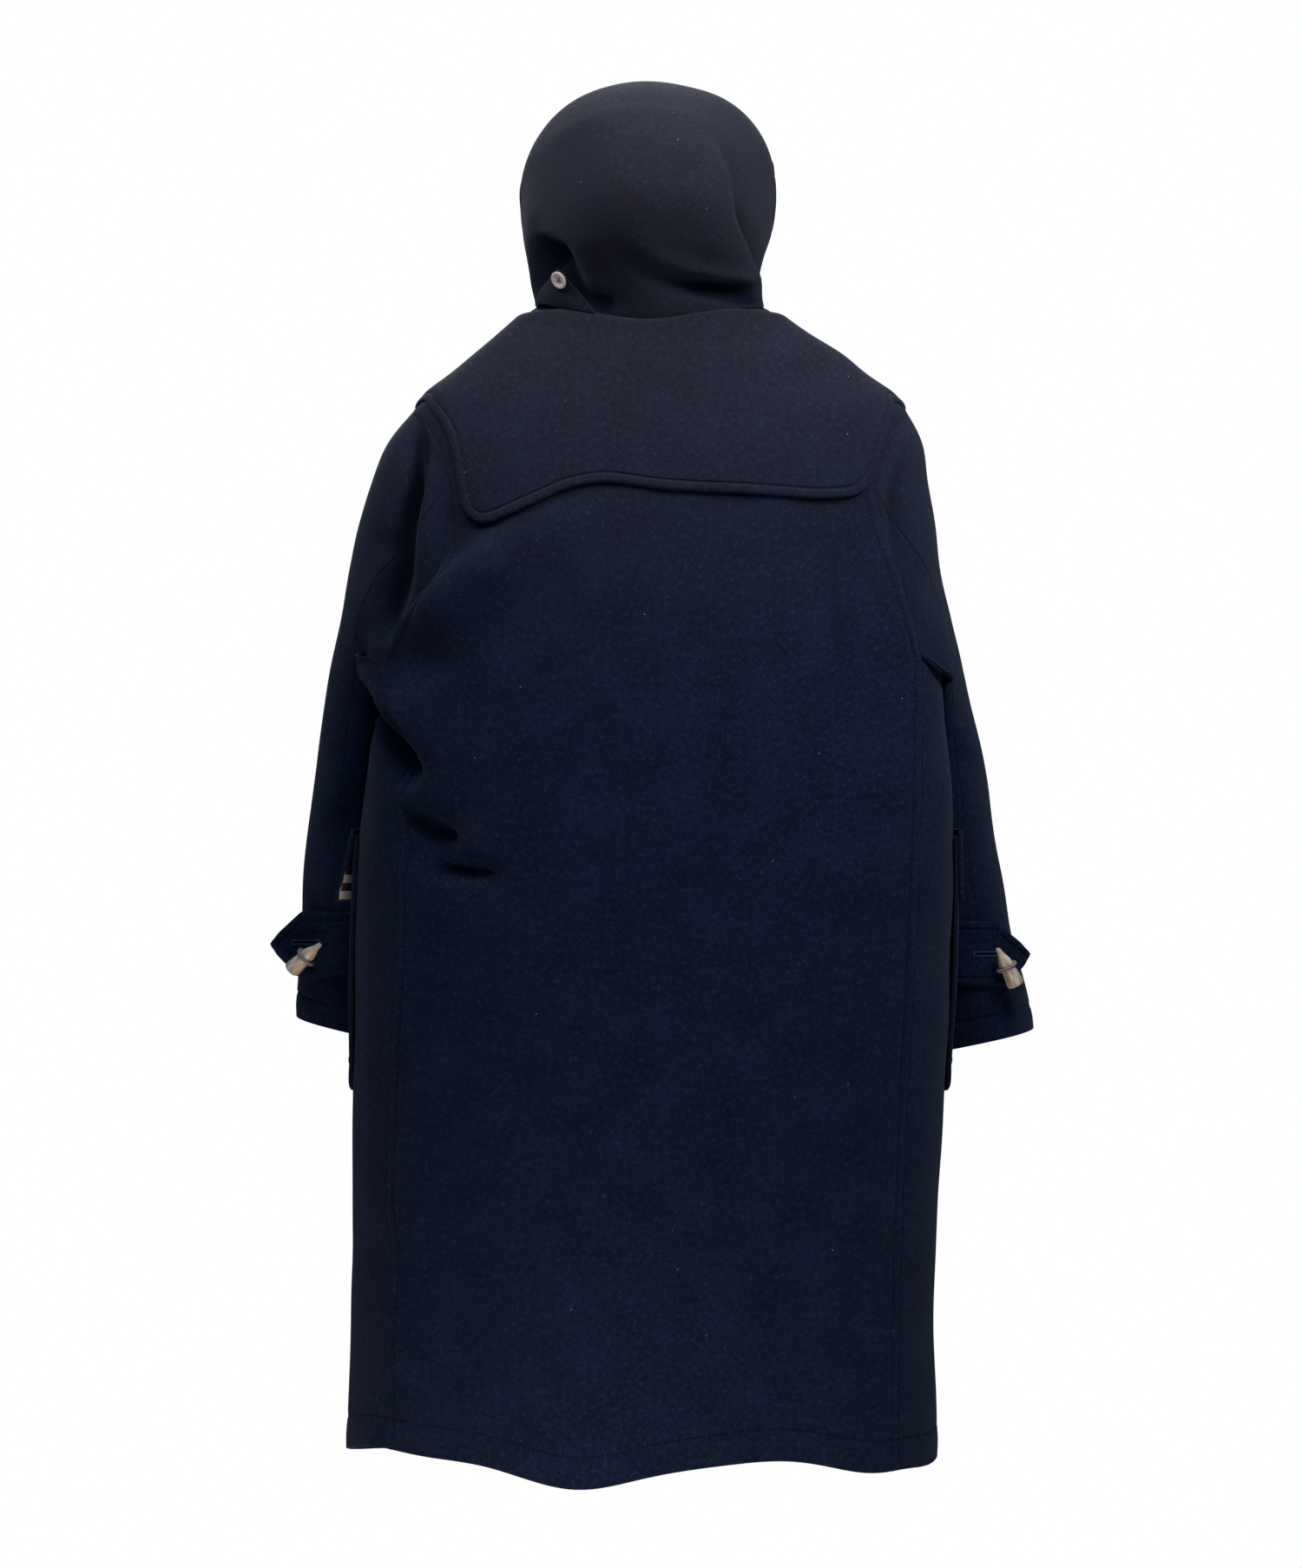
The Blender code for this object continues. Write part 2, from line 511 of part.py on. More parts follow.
def make_sleeve(side_name, side):
    outer, inner = sleeve_grid(side)
    count = outer.shape[1]
    behind, front = SLEEVE_SEAM, count - SLEEVE_SEAM
    pieces = {"sleeve_top_" + side_name: np.arange(behind, front + 1),
              "sleeve_under_" + side_name: np.arange(front, count + behind + 1) % count}
    for name, columns in pieces.items():
        piece_outer, piece_inner = outer[:, columns].copy(), inner[:, columns].copy()
        for edge, inward in ((0, 1), (-1, -2)):
            shift = unit(piece_outer[:, inward] - piece_outer[:, edge]) * GAP
            piece_outer[:, edge] += shift
            piece_inner[:, edge] += shift
        cloth(name, piece_outer, piece_inner, finish(name + "_wool", NAVY, 0.9))


def hood_surface(row, turn_share):
    """Outer point of the hood; row is 0 at the neck and 1 at the face edge, the share runs left to right."""
    sections = table(HOOD_COLUMNS, HOOD_SECTIONS)
    knots = np.linspace(0, 1, len(HOOD_SECTIONS))
    at = {name: blend(knots, sections[name], row) for name in HOOD_COLUMNS}
    turn = at["start"] + (180 - 2 * at["start"]) * turn_share
    point = hood_arc(at, turn)
    first = {name: sections[name][0] for name in HOOD_COLUMNS}
    first_turn = first["start"] + (180 - 2 * first["start"]) * turn_share
    lift = front_lap(first_turn, 1) * (first_turn < 0)
    seam = body(first_turn, np.ones(np.shape(first_turn)), lift) + np.array([0, 0, HOOD_SEAM_GAP])
    return point + (1 - ease(0, 0.3, row))[..., None] * (seam - hood_arc(first, first_turn))


def hood_arc(at, turn):
    c, s = np.cos(np.radians(turn)), np.sin(np.radians(turn))
    c, s = (np.sign(v) * np.abs(v) ** (2 / HOOD_SQUARE) for v in (c, s))
    width = np.where(c >= 0, at["left"], at["right"])
    s = np.where(s < 0, s * HOOD_FRONT_SHARE, s)
    y = at["centre_y"] + (at["mid_y"] - at["centre_y"]) * s
    z = at["centre_z"] + (at["mid_z"] - at["centre_z"]) * s
    return np.stack(np.broadcast_arrays(width * c, y, z), axis=-1) * MM


def grid_normal(points, outward_from):
    normal = unit(np.cross(np.gradient(points, axis=1), np.gradient(points, axis=0)))
    return normal * np.sign(((points - outward_from) * normal).sum(axis=-1, keepdims=True))


def make_hood():
    row, share = np.meshgrid(np.linspace(0, 1, HOOD_ROWS + 1), np.linspace(0, 1, HOOD_AROUND + 1), indexing="ij")
    outer = hood_surface(row, share)
    middle = Vector((0, -0.02, 0.09))
    normal = grid_normal(outer, np.array(middle))
    behind = ease(-0.02, 0.03, outer[..., 1]) * ease(0, 0.12, row)
    for x0, z0, x1, z1, width, height in HOOD_FOLDS:
        line = np.array([x1 - x0, z1 - z0]) * MM
        place = outer[..., [0, 2]] - np.array([x0, z0]) * MM
        along = np.clip((place @ line) / (line @ line), 0, 1)
        away = np.linalg.norm(place - along[..., None] * line, axis=-1)
        outer = outer + normal * (behind * height * MM * np.exp(-((away / (width * MM)) ** 2)))[..., None]
    inner = outer - CLOTH * grid_normal(outer, np.array(middle))
    inner[0] = outer[0] - CLOTH * level_direction(outer[0])
    return cloth("hood", outer, inner, finish("hood_wool", NAVY, 0.9))


def yoke_edge():
    """Turn and level along the yoke's outer edge, evenly spaced."""
    turns, levels = [], []
    for rows, behind in ((YOKE_FRONT_LEFT, False), (YOKE_BACK, True), (YOKE_FRONT_RIGHT, False)):
        x, z = np.array(rows, float).T * MM
        turn, level = find(x, z, behind)
        turns.append(np.where(turn < -90, turn + 360, turn))
        levels.append(level)
    turn, level = np.concatenate(turns), np.concatenate(levels)
    point = body_surface(turn, level)
    run = np.concatenate([[0], np.cumsum(np.linalg.norm(np.diff(point, axis=0), axis=1))])
    at = np.linspace(0, run[-1], YOKE_AROUND + 1)
    return np.interp(at, run, turn), np.interp(at, run, level)


def make_yoke():
    turn, level = yoke_edge()
    rows = np.linspace(0, 1, YOKE_ROWS + 1)[:, None]
    level = level + (YOKE_TOP_LEVEL - level) * rows
    turn = np.broadcast_to(turn, level.shape)
    lift = YOKE_GAP + front_lap(turn, 1) * (turn < 0)
    cloth("yoke", body(turn, level, lift + CLOTH), body(turn, level, lift), finish("yoke_wool", NAVY, 0.9))


def make_patch(name, side, shape):
    """A patch or a flap on the front beside the side seam, with its lower corners rounded."""
    share = np.linspace(0, 1, shape["across"] + 1)
    turn = shape["turns"][0] + (shape["turns"][1] - shape["turns"][0]) * share
    width = np.linalg.norm(np.diff(body_surface(turn, np.full(turn.shape, 0.5)), axis=0), axis=1).sum()
    edge = np.minimum(share, 1 - share) * width
    corner = shape["corner"] * (1 - np.sqrt(1 - np.clip(1 - edge / shape["corner"], 0, 1) ** 2))
    rows = np.linspace(0, 1, 5)[:, None]
    z = (shape["bottom"] + corner) * (1 - rows) + shape["top"] * rows
    turn = side_value(turn, side) * np.ones_like(z)
    level = level_at(turn, z)
    lift = shape["lift"] + front_lap(turn, side)
    cloth(name, body(turn, level, lift + CLOTH), body(turn, level, lift), finish(name + "_wool", NAVY, 0.9))


def strap_path(side, rise=0.0):
    """A line along a cuff strap at this height above its middle: round the back of the arm, then straight on."""
    z = (STRAP["z_left"] if side > 0 else STRAP["z_right"]) + rise
    around = np.linspace(STRAP["start"], STRAP["leave"], 9)
    held = sleeve_section(side, np.full(around.shape, z), around)
    held[:, 2] = z
    held = from_sleeve_place(kept_clear(to_sleeve_place(held, side), SLEEVE_CLEARANCE))
    tangent = unit(held[-1] - held[-2])
    free = STRAP["free_left"] if side > 0 else STRAP["free_right"]
    path = np.concatenate([held, held[-1] + tangent * np.linspace(0, free, 6)[1:, None]])
    normal = unit(np.cross(np.gradient(path, axis=0), (0, 0, 1)))
    return path, normal * np.sign(normal[:, 1:2]), tangent


def make_strap(name, side):
    path, normal, _ = strap_path(side)
    run = np.concatenate([[0], np.cumsum(np.linalg.norm(np.diff(path, axis=0), axis=1))])
    half = STRAP["height"] / 2 * np.clip(0.06 + 0.94 * (run[-1] - run) / STRAP["point"], 0, 1)
    inner = []
    for row in np.linspace(-1, 1, 5):
        line = strap_path(side, row * STRAP["height"] / 2)[0] + normal * STRAP["lift"]
        line[:, 2] = path[:, 2] + row * half
        inner.append(line)
    inner = np.array(inner)
    cloth(name, inner + normal * STRAP["thickness"], inner, finish(name + "_wool", NAVY, 0.9))


def turned(name, profile, place, material, closed=False):
    """A turned shape: the profile's radius and height pairs spun about Z, then put in its place."""
    mesh = bpy.data.meshes.new(name)
    edges = [(i, (i + 1) % len(profile)) for i in range(len(profile) - (0 if closed else 1))]
    mesh.from_pydata([(r, 0, h) for r, h in profile], edges, [])
    mesh.materials.append(material)
    thing = bpy.data.objects.new(name, mesh)
    coat.objects.link(thing)
    spin = thing.modifiers.new("turn", "SCREW")
    spin.steps = spin.render_steps = TURNED_STEPS
    spin.use_merge_vertices = True
    spin.merge_threshold = 0.00005
    spin.use_normal_calculate = True
    thing.matrix_world = place
    return thing


def frame_at(centre, axis, up):
    """Matrix that puts Z along the axis and X as near the up direction as it goes."""
    z = Vector(axis).normalized()
    y = z.cross(Vector(up)).normalized()
    x = y.cross(z)
    return Matrix.Translation(Vector(centre)) @ Matrix((x, y, z)).transposed().to_4x4()


def make_toggle(name, sizes, centre, axis, up, ringed=True):
    """A horn toggle with one fat end, and the ring of cord round its waist that it hangs by."""
    half = sizes["length"] / 2
    profile = [(0, -half), (sizes["tip"], -half), (sizes["tip"] * 1.4, -half * 0.72),
               (sizes["waist"], -half * 0.12), (sizes["waist"], half * 0.12), (sizes["fat"], half * 0.55),
               (sizes["fat"], half * 0.85), (sizes["fat"] * 0.72, half), (0, half)]
    place = frame_at(centre, axis, up)
    turned(name, profile, place, finish(name + "_horn", HORN, 0.35))
    if not ringed:
        return
    cord, ring = sizes["cord"], sizes["waist"] + GAP + sizes["cord"]
    loop = [(ring + cord * np.cos(a), cord * np.sin(a)) for a in np.radians(np.arange(0, 360, 60))]
    turned(name + "_cord", loop, place, finish(name + "_cord_braid", CORD, 0.8), closed=True)


def front_point(x, z, out):
    """Points in front of the coat, this far out from the body."""
    x, z, out = np.broadcast_arrays(np.asarray(x, float), np.asarray(z, float), np.asarray(out, float))
    return body(*find(x, z, False), out)


def make_front_patch(name, x, z, lift):
    across = x + FRONT_PATCH["width"] * np.linspace(-0.5, 0.5, 4)
    up = z + FRONT_PATCH["height"] * np.linspace(-0.5, 0.5, 3)[:, None]
    cloth(name, front_point(across, up, lift + FRONT_PATCH["thickness"]), front_point(across, up, lift),
          finish(name + "_leather", PATCH, 0.55))


def make_loop(name, rows, z):
    half = table(LOOP_COLUMNS, rows)
    line = {column: np.concatenate([half[column], half[column][-2::-1]]) * MM for column in LOOP_COLUMNS}
    line["aside"][len(rows):] *= -1
    points = front_point(line["x"], z + line["aside"], line["out"])
    curve = bpy.data.curves.new(name, "CURVE")
    curve.dimensions = "3D"
    curve.bevel_depth = FRONT_TOGGLE["cord"]
    curve.bevel_resolution = 2
    curve.use_fill_caps = True
    spline = curve.splines.new("POLY")
    spline.points.add(len(points) - 1)
    for place, point in zip(spline.points, points):
        place.co = (*point, 1)
    curve.materials.append(finish(name + "_braid", CORD, 0.8))
    coat.objects.link(bpy.data.objects.new(name, curve))


def make_front_fastening(number, z):
    """A toggle of the left-over-right front, its two loops and the patches that hold them."""
    lap = float(front_lap(np.array(-90.0), 1))
    make_front_patch(f"front_patch_left_{number}", FRONT_PATCH["left_x"], z, lap + FRONT_PATCH["lift"])
    make_front_patch(f"front_patch_right_{number}", FRONT_PATCH["right_x"], z, FRONT_PATCH["lift"])
    make_loop(f"front_loop_left_{number}", LEFT_LOOP, z)
    make_loop(f"front_loop_right_{number}", RIGHT_LOOP, z)
    under_waist = LEFT_LOOP[-1][2] * MM + FRONT_TOGGLE["cord"] + GAP + FRONT_TOGGLE["waist"]
    centre = front_point(FRONT_TOGGLE_X, z, under_waist)
    make_toggle(f"front_toggle_{number}", FRONT_TOGGLE, centre, (1, 0, 0), (0, 0, 1), ringed=False)


def make_cuff(side_name, side):
    make_strap("cuff_strap_" + side_name, side)
    path, normal, tangent = strap_path(side)
    out = normal[-1]
    ring = TOGGLE["waist"] + GAP + 2 * TOGGLE["cord"]
    centre = path[8] + tangent * (0.022 if side > 0 else 0.012) + np.array([0, 0, -0.008])
    centre = centre + out * (STRAP["lift"] + STRAP["thickness"] + GAP + ring)
    axis = tangent * 0.78 + np.array([0, 0, -0.62])
    make_toggle("cuff_toggle_" + side_name, TOGGLE, centre, axis, out)


def tree_of(thing):
    mesh = thing.data
    return BVHTree.FromPolygons([v.co for v in mesh.vertices], [tuple(p.vertices) for p in mesh.polygons])


def behind_of(tree, x, z):
    """The place and normal of a surface seen from behind at x and z."""
    place, normal, _, _ = tree.ray_cast(Vector((x, 1, z)), Vector((0, -1, 0)))
    return np.array(place), np.array(normal)


def make_hood_tab(hood):
    """A pointed tab from the neck seam, held to the hood by its button."""
    tree = tree_of(hood)
    base_left, base_right, tip = np.array([0.101, 0.004]), np.array([0.047, -0.006]), np.array([0.0795, 0.0370])
    outer, inner = [], []
    for up in np.linspace(0, 0.97, TAB_GRID):
        gap = TAB_GAP[0] + (TAB_GAP[1] - TAB_GAP[0]) * ease(-0.1, 0.35, up)
        left, right = base_left * (1 - up) + tip * up, base_right * (1 - up) + tip * up
        for across in np.linspace(0, 1, TAB_GRID):
            x, z = left * (1 - across) + right * across
            place, normal = behind_of(tree, x, z)
            inner.append(place + normal * gap)
            outer.append(place + normal * (gap + CLOTH))
    shape = (TAB_GRID, TAB_GRID, 3)
    tab = cloth("hood_tab", np.array(outer).reshape(shape), np.array(inner).reshape(shape),
                finish("hood_tab_wool", NAVY, 0.9))
    place = behind_of(tree_of(tab), BUTTON["x"], BUTTON["z"])[0]
    normal = behind_of(tree, BUTTON["x"], BUTTON["z"])[1] + behind_of(tree_of(tab), BUTTON["x"], BUTTON["z"])[1]
    radius, thick = BUTTON["radius"], BUTTON["thickness"]
    profile = [(0, 0), (radius * 0.4, 0), (radius, thick * 0.6), (radius * 0.93, thick), (radius * 0.72, thick),
               (radius * 0.6, thick * 0.72), (0, thick * 0.72)]
    turned("hood_button", profile, frame_at(place + unit(normal) * 4 * GAP, normal, (0, 0, 1)),
           finish("hood_button_horn", HORN, 0.35))


for old in list(bpy.data.objects):
    bpy.data.objects.remove(old, do_unlink=True)
coat = bpy.data.collections.new("duffle_coat")
bpy.context.scene.collection.children.link(coat)

make_back()
make_front("front_left", 1)
make_front("front_right", -1)
make_yoke()
make_hood_tab(make_hood())
for side_name, side in (("left", 1), ("right", -1)):
    make_sleeve(side_name, side)
    make_patch("pocket_" + side_name, side, POCKET)
    make_patch("pocket_flap_" + side_name, side, FLAP)
    make_cuff(side_name, side)
for number, height in enumerate(FRONT_TOGGLE_HEIGHTS, start=1):
    make_front_fastening(number, height)
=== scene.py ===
import bpy
import numpy as np
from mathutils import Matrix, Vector


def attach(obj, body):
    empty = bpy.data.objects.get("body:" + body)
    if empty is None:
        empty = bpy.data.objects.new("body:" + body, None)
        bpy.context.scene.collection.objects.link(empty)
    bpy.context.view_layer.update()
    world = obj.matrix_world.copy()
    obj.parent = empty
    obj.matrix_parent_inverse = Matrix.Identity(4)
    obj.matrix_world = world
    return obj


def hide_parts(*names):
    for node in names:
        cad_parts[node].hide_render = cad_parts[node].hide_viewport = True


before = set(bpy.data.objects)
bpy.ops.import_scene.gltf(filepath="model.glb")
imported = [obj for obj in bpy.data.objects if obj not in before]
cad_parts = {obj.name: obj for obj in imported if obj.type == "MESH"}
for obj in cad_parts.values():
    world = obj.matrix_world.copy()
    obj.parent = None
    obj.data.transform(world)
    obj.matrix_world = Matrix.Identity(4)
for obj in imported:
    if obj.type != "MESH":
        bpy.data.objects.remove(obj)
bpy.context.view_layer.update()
print("frame loaded:", len(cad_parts), "nodes")

mm = 0.001
sides = {"left": 1, "right": -1}  # the wearer's left is at positive x
cloth = {"thickness": 3.0 * mm, "gap": 0.3 * mm, "stitchIn": 9.5 * mm,
         # a stitched line: how much the cloth stands up beside it, how deep it sinks, and how wide
         "puff": 0.7 * mm, "groove": 0.9 * mm, "grooveWidth": 1.3 * mm, "sewnRound": 1.1 * mm}


class ShaderValue:
    # a socket that can be used in sums; each operator adds one Math node
    def __init__(self, shader, socket):
        self.shader, self.socket = shader, socket

    def math(self, operation, *inputs):
        return self.shader.add("ShaderNodeMath", {"operation": operation}, dict(enumerate(inputs)))

    def __add__(self, other):
        return self.math("ADD", self, other)

    def __radd__(self, other):
        return self.math("ADD", other, self)

    def __sub__(self, other):
        return self.math("SUBTRACT", self, other)

    def __rsub__(self, other):
        return self.math("SUBTRACT", other, self)

    def __mul__(self, other):
        return self.math("MULTIPLY", self, other)

    def __rmul__(self, other):
        return self.math("MULTIPLY", other, self)

    def __truediv__(self, other):
        return self.math("DIVIDE", self, other)

    def __pow__(self, other):
        return self.math("POWER", self, other)

    def wave(self):
        return self.math("SINE", self)

    def size(self):
        return self.math("ABSOLUTE", self)

    def orMore(self, other):
        return self.math("MAXIMUM", self, other)

    def within(self, low, high):
        # 0 at low, 1 at high, held at both ends
        return self.shader.add("ShaderNodeMapRange", {"interpolation_type": "SMOOTHSTEP"},
                               {"Value": self, "From Min": low, "From Max": high})


class Shader:
    def __init__(self, name, colour, roughness, **fixed):
        self.material = bpy.data.materials.new(name)
        self.material.use_nodes = True
        self.tree = self.material.node_tree
        self.surface = self.tree.nodes["Principled BSDF"]
        self.surface.inputs["Base Color"].default_value = (*colour, 1)
        self.surface.inputs["Roughness"].default_value = roughness
        for socket, value in fixed.items():
            self.surface.inputs[socket.replace("_", " ")].default_value = value

    def add(self, kind, settings, inputs, output=0):
        node = self.tree.nodes.new(kind)
        for key, value in settings.items():
            setattr(node, key, value)
        for key, value in inputs.items():
            if isinstance(value, ShaderValue):
                self.tree.links.new(value.socket, node.inputs[key])
            else:
                node.inputs[key].default_value = value
        return ShaderValue(self, node.outputs[output])

    def map(self, name):
        # the two numbers of one of the piece's own maps
        point = self.add("ShaderNodeUVMap", {"uv_map": name}, {})
        return point, *(self.add("ShaderNodeSeparateXYZ", {}, {0: point}, i) for i in (0, 1))

    def place(self):
        return self.add("ShaderNodeTexCoord", {}, {}, 3)

    def scaled(self, vector, x, y, z):
        return self.add("ShaderNodeVectorMath", {"operation": "MULTIPLY"}, {0: vector, 1: (x, y, z)})

    def noise(self, vector, scale, detail=2.0, rough=0.5):
        return self.add("ShaderNodeTexNoise", {}, {"Vector": vector, "Scale": scale, "Detail": detail,
                                                   "Roughness": rough})

    def cells(self, vector, scale):
        return self.add("ShaderNodeTexVoronoi", {"feature": "F1"}, {"Vector": vector, "Scale": scale})

    def blend(self, factor, low, high):
        low, high = ((*c, 1) if isinstance(c, tuple) else c for c in (low, high))
        return self.add("ShaderNodeMix", {"data_type": "RGBA"}, {0: factor, 6: low, 7: high}, 2)

    def finish(self, colour=None, roughness=None, height=None, depth=1.0):
        for socket, value in (("Base Color", colour), ("Roughness", roughness)):
            if value is not None:
                self.tree.links.new(value.socket, self.surface.inputs[socket])
        if height is not None:
            bump = self.add("ShaderNodeBump", {}, {"Height": height, "Strength": 1.0, "Distance": depth})
            self.tree.links.new(bump.socket, self.surface.inputs["Normal"])
        return self.material


wool = {
    "dark": (0.0005, 0.0016, 0.0068), "light": (0.0068, 0.0150, 0.0430), "fuzz": (0.032, 0.050, 0.092),
    "roughness": 0.92, "sheen": 0.045, "sheenRoughness": 0.55, "tint": (0.70, 0.85, 1.0, 1), "specular": 0.02,
    # noise in waves to the metre: slow clouds, blots of felted wool and the nap's single hairs
    "clouds": 22, "blots": 210, "hairs": 1150, "wale": 2.5 * mm, "lean": 62, "relief": 0.55 * mm,
    "stitch": 4.2 * mm, "seam": (0.4 * mm, 1.9 * mm),
    # painted warm light towards the shoulders, where the lamps fall from above, and painted shade in the
    # depth of the folds
    "paintedTopLight": (0.027, 0.022, 0.018), "paintedLightHeight": (-0.45, 0.12), "paintedLightShare": 0.30,
    "shadeDepth": (3 * mm, 13 * mm),
    "lint": (0.28, 0.29, 0.33), "lintApart": 48, "lintSize": (0.018, 0.034)}
checkedLining = {
    "ground": (0.012, 0.014, 0.022), "band": (0.70, 0.70, 0.70), "post": (0.30, 0.02, 0.04),
    "bandStep": 15.4 * mm, "postStep": 55 * mm, "from": 2.6 * mm, "edge": (3.0 * mm, 3.3 * mm),
    "top": (26 * mm, 27 * mm)}
workedSlit = {
    "hole": (0.9 * mm, 1.2 * mm), "ridgeAt": 1.8 * mm, "ridge": (0.3 * mm, 0.8 * mm), "stitch": 0.9 * mm,
    # inside is the painted shade of the slit's opening
    "inside": (0.001, 0.001, 0.002), "thread": ((0.012, 0.022, 0.055), (0.050, 0.075, 0.150))}


def woolShader(name, lined=False, slot=None):
    # a steep twill under a short nap: wales are a sine across slanted lines, broken up by noise
    shade = Shader(name, wool["light"], wool["roughness"], Sheen_Weight=wool["sheen"],
                   Sheen_Roughness=wool["sheenRoughness"], Sheen_Tint=wool["tint"],
                   Specular_IOR_Level=wool["specular"])
    cut, across, up = shade.map("cut")
    _, run, fromLine = shade.map("seams")
    cloud = shade.noise(cut, wool["clouds"], 3)
    blot = shade.noise(cut, wool["blots"], 3, 0.6)
    nap = shade.noise(cut, wool["hairs"], 2, 0.7)
    lean = np.radians(wool["lean"])
    phase = (across * np.sin(lean) + up * np.cos(lean)) * (2 * np.pi / wool["wale"])
    wales = (phase + blot * 5.0).wave() * 0.5 + 0.5
    groove = 1 - fromLine.size().within(*wool["seam"])
    thread = groove * (run * (2 * np.pi / wool["stitch"])).wave().within(-0.15, 0.35)
    height = wales * 0.30 + blot * 0.55 + nap * 0.75 - groove * 1.3 + thread * 0.9
    light = wales * 0.36 + blot * 0.85 + nap * 0.75 + cloud * 0.5 - 0.83
    colour = shade.blend(light, wool["dark"], wool["light"])
    hairs = (nap * blot).within(0.30, 0.46)
    colour = shade.blend(hairs * 0.45, colour, wool["fuzz"])
    colour = shade.blend((groove - thread) * 0.75, colour, wool["dark"])
    # painted light: the colour turns warmer and greyer higher up, where the light from above falls
    high = shade.add("ShaderNodeSeparateXYZ", {}, {0: shade.place()}, 2)
    colour = shade.blend(high.within(*wool["paintedLightHeight"]) * wool["paintedLightShare"], colour, wool["paintedTopLight"])
    # painted shade: the cloth is darkened where a fold sinks deep
    _, depth, _ = shade.map("foldShade")
    colour = shade.blend(depth.within(*wool["shadeDepth"]) * 0.85, colour, wool["dark"])
    specks = shade.cells(cut, wool["lintApart"])
    lint = (1 - specks.within(*wool["lintSize"])) * shade.noise(cut, 31, 0).within(0.52, 0.60)
    colour = shade.blend(lint * 0.8, colour, wool["lint"])
    if lined:
        # pale bands across the inner face and thin posts up it, inside the turned edge
        _, inside, fromEdge = shade.map("face")
        bands = ((up - checkedLining["from"]) * (2 * np.pi / checkedLining["bandStep"])).wave()
        posts = (across * (np.pi / checkedLining["postStep"])).wave()
        lining = shade.blend(bands.within(-0.1, 0.1), checkedLining["ground"], checkedLining["band"])
        lining = shade.blend(posts.size().within(0.985, 0.995), lining, checkedLining["post"])
        shown = fromEdge.within(*checkedLining["edge"]) * (1 - up.within(*checkedLining["top"]))
        colour = shade.blend(inside * shown, colour, lining)
    if slot:
        # painted shade inside the slit, with a ridge of close stitches at an even distance round it
        first, last, middle = slot
        past = ((across - (first + last) / 2).size() - (last - first) / 2).orMore(0.0)
        away = (past**2 + (up - middle) ** 2) ** 0.5
        slit = 1 - away.within(*workedSlit["hole"])
        ridge = 1 - (away - workedSlit["ridgeAt"]).size().within(*workedSlit["ridge"])
        stitches = ((across + up) * (2 * np.pi / workedSlit["stitch"])).wave() * 0.5 + 0.5
        colour = shade.blend(ridge, colour, shade.blend(stitches, *workedSlit["thread"]))
        colour = shade.blend(slit, colour, workedSlit["inside"])
        height = height + ridge * 1.2 + ridge * stitches * 0.5 - slit * 4.0
    rough = nap * 0.12 + 0.84
    return shade.finish(colour, rough, height, wool["relief"])


horn = {"light": (0.60, 0.55, 0.45), "mid": (0.34, 0.28, 0.20), "dark": (0.10, 0.062, 0.034),
        "grey": (0.50, 0.44, 0.42), "relief": 0.25 * mm}


def hornShader(name, grey=0.0):
    # streaks that run with the horn: noise stretched along its length, darker in the cracks
    shade = Shader(name, horn["light"], 0.36, Coat_Weight=0.25, Coat_Roughness=0.3)
    cut, _, _ = shade.map("cut")
    streak = shade.noise(shade.scaled(cut, 90, 900, 1), 1.0, 4, 0.65)
    broad = shade.noise(shade.scaled(cut, 40, 160, 1), 1.0, 2)
    colour = shade.blend(broad.within(0.35, 0.65), horn["mid"], horn["light"])
    colour = shade.blend(streak.within(0.52, 0.68) * 0.8, colour, horn["dark"])
    colour = shade.blend(grey, colour, horn["grey"])
    return shade.finish(colour, streak * 0.25 + 0.27, streak, horn["relief"])


braid = {"black": ((0.008, 0.007, 0.007), (0.062, 0.054, 0.048)),
         "grey": ((0.06, 0.06, 0.06), (0.22, 0.21, 0.20)),
         # radians to the metre along the cord and round it
         "along": 2400, "around": 1500, "relief": 0.5 * mm}


def cordShader(name, shades=braid["black"]):
    # a round braid: two sets of slanted strands, crossing
    shade = Shader(name, shades[1], 0.8, Sheen_Weight=0.05)
    _, along, around = shade.map("cut")
    one = (along * braid["along"] + around * braid["around"]).wave()
    two = (along * braid["along"] - around * braid["around"]).wave()
    strand = one.orMore(two) * 0.5 + 0.5
    colour = shade.blend(strand, *shades)
    return shade.finish(colour, strand * 0.1 + 0.75, strand, braid["relief"])


leather = {"base": (0.03, 0.024, 0.022), "dark": (0.018, 0.013, 0.012), "worn": (0.055, 0.042, 0.036),
           "thread": (0.09, 0.08, 0.07), "grain": 900, "wear": 90, "stitch": 3.2 * mm,
           "seam": (0.2 * mm, 0.9 * mm), "relief": 0.3 * mm}


def leatherShader(name):
    # fine grain from cells, worn lighter where it is high, with a sewn line inside the edge
    shade = Shader(name, leather["base"], 0.5, Coat_Weight=0.08)
    cut, _, _ = shade.map("cut")
    _, run, fromLine = shade.map("seams")
    grain = shade.cells(cut, leather["grain"])
    wear = shade.noise(cut, leather["wear"], 3)
    groove = 1 - fromLine.size().within(*leather["seam"])
    thread = groove * (run * (2 * np.pi / leather["stitch"])).wave().within(-0.1, 0.3)
    colour = shade.blend(wear.within(0.4, 0.75), leather["dark"], leather["worn"])
    colour = shade.blend(thread, colour, leather["thread"])
    return shade.finish(colour, wear * 0.3 + 0.35, grain * 0.5 - groove + thread, leather["relief"])


def unit(vectors):
    return vectors / np.linalg.norm(vectors, axis=-1, keepdims=True)


def cosSin(degrees):
    return np.cos(np.radians(degrees)), np.sin(np.radians(degrees))


def ease(low, high, at):
    # 0 below low and 1 above high, with a smooth cubic step between
    t = np.clip((at - low) / (high - low), 0, 1)
    return t * t * (3 - 2 * t)


def table(columns, rows):
    values = np.array(rows, dtype=float)
    return {name: values[:, i] for i, name in enumerate(columns)}


def cubic(t, start, leaving, end, arriving):
    # from start to end as t goes from 0 to 1, leaving and arriving with the given slopes
    return ((2 * t**3 - 3 * t**2 + 1) * start + (t**3 - 2 * t**2 + t) * leaving
            + (3 * t**2 - 2 * t**3) * end + (t**3 - t**2) * arriving)


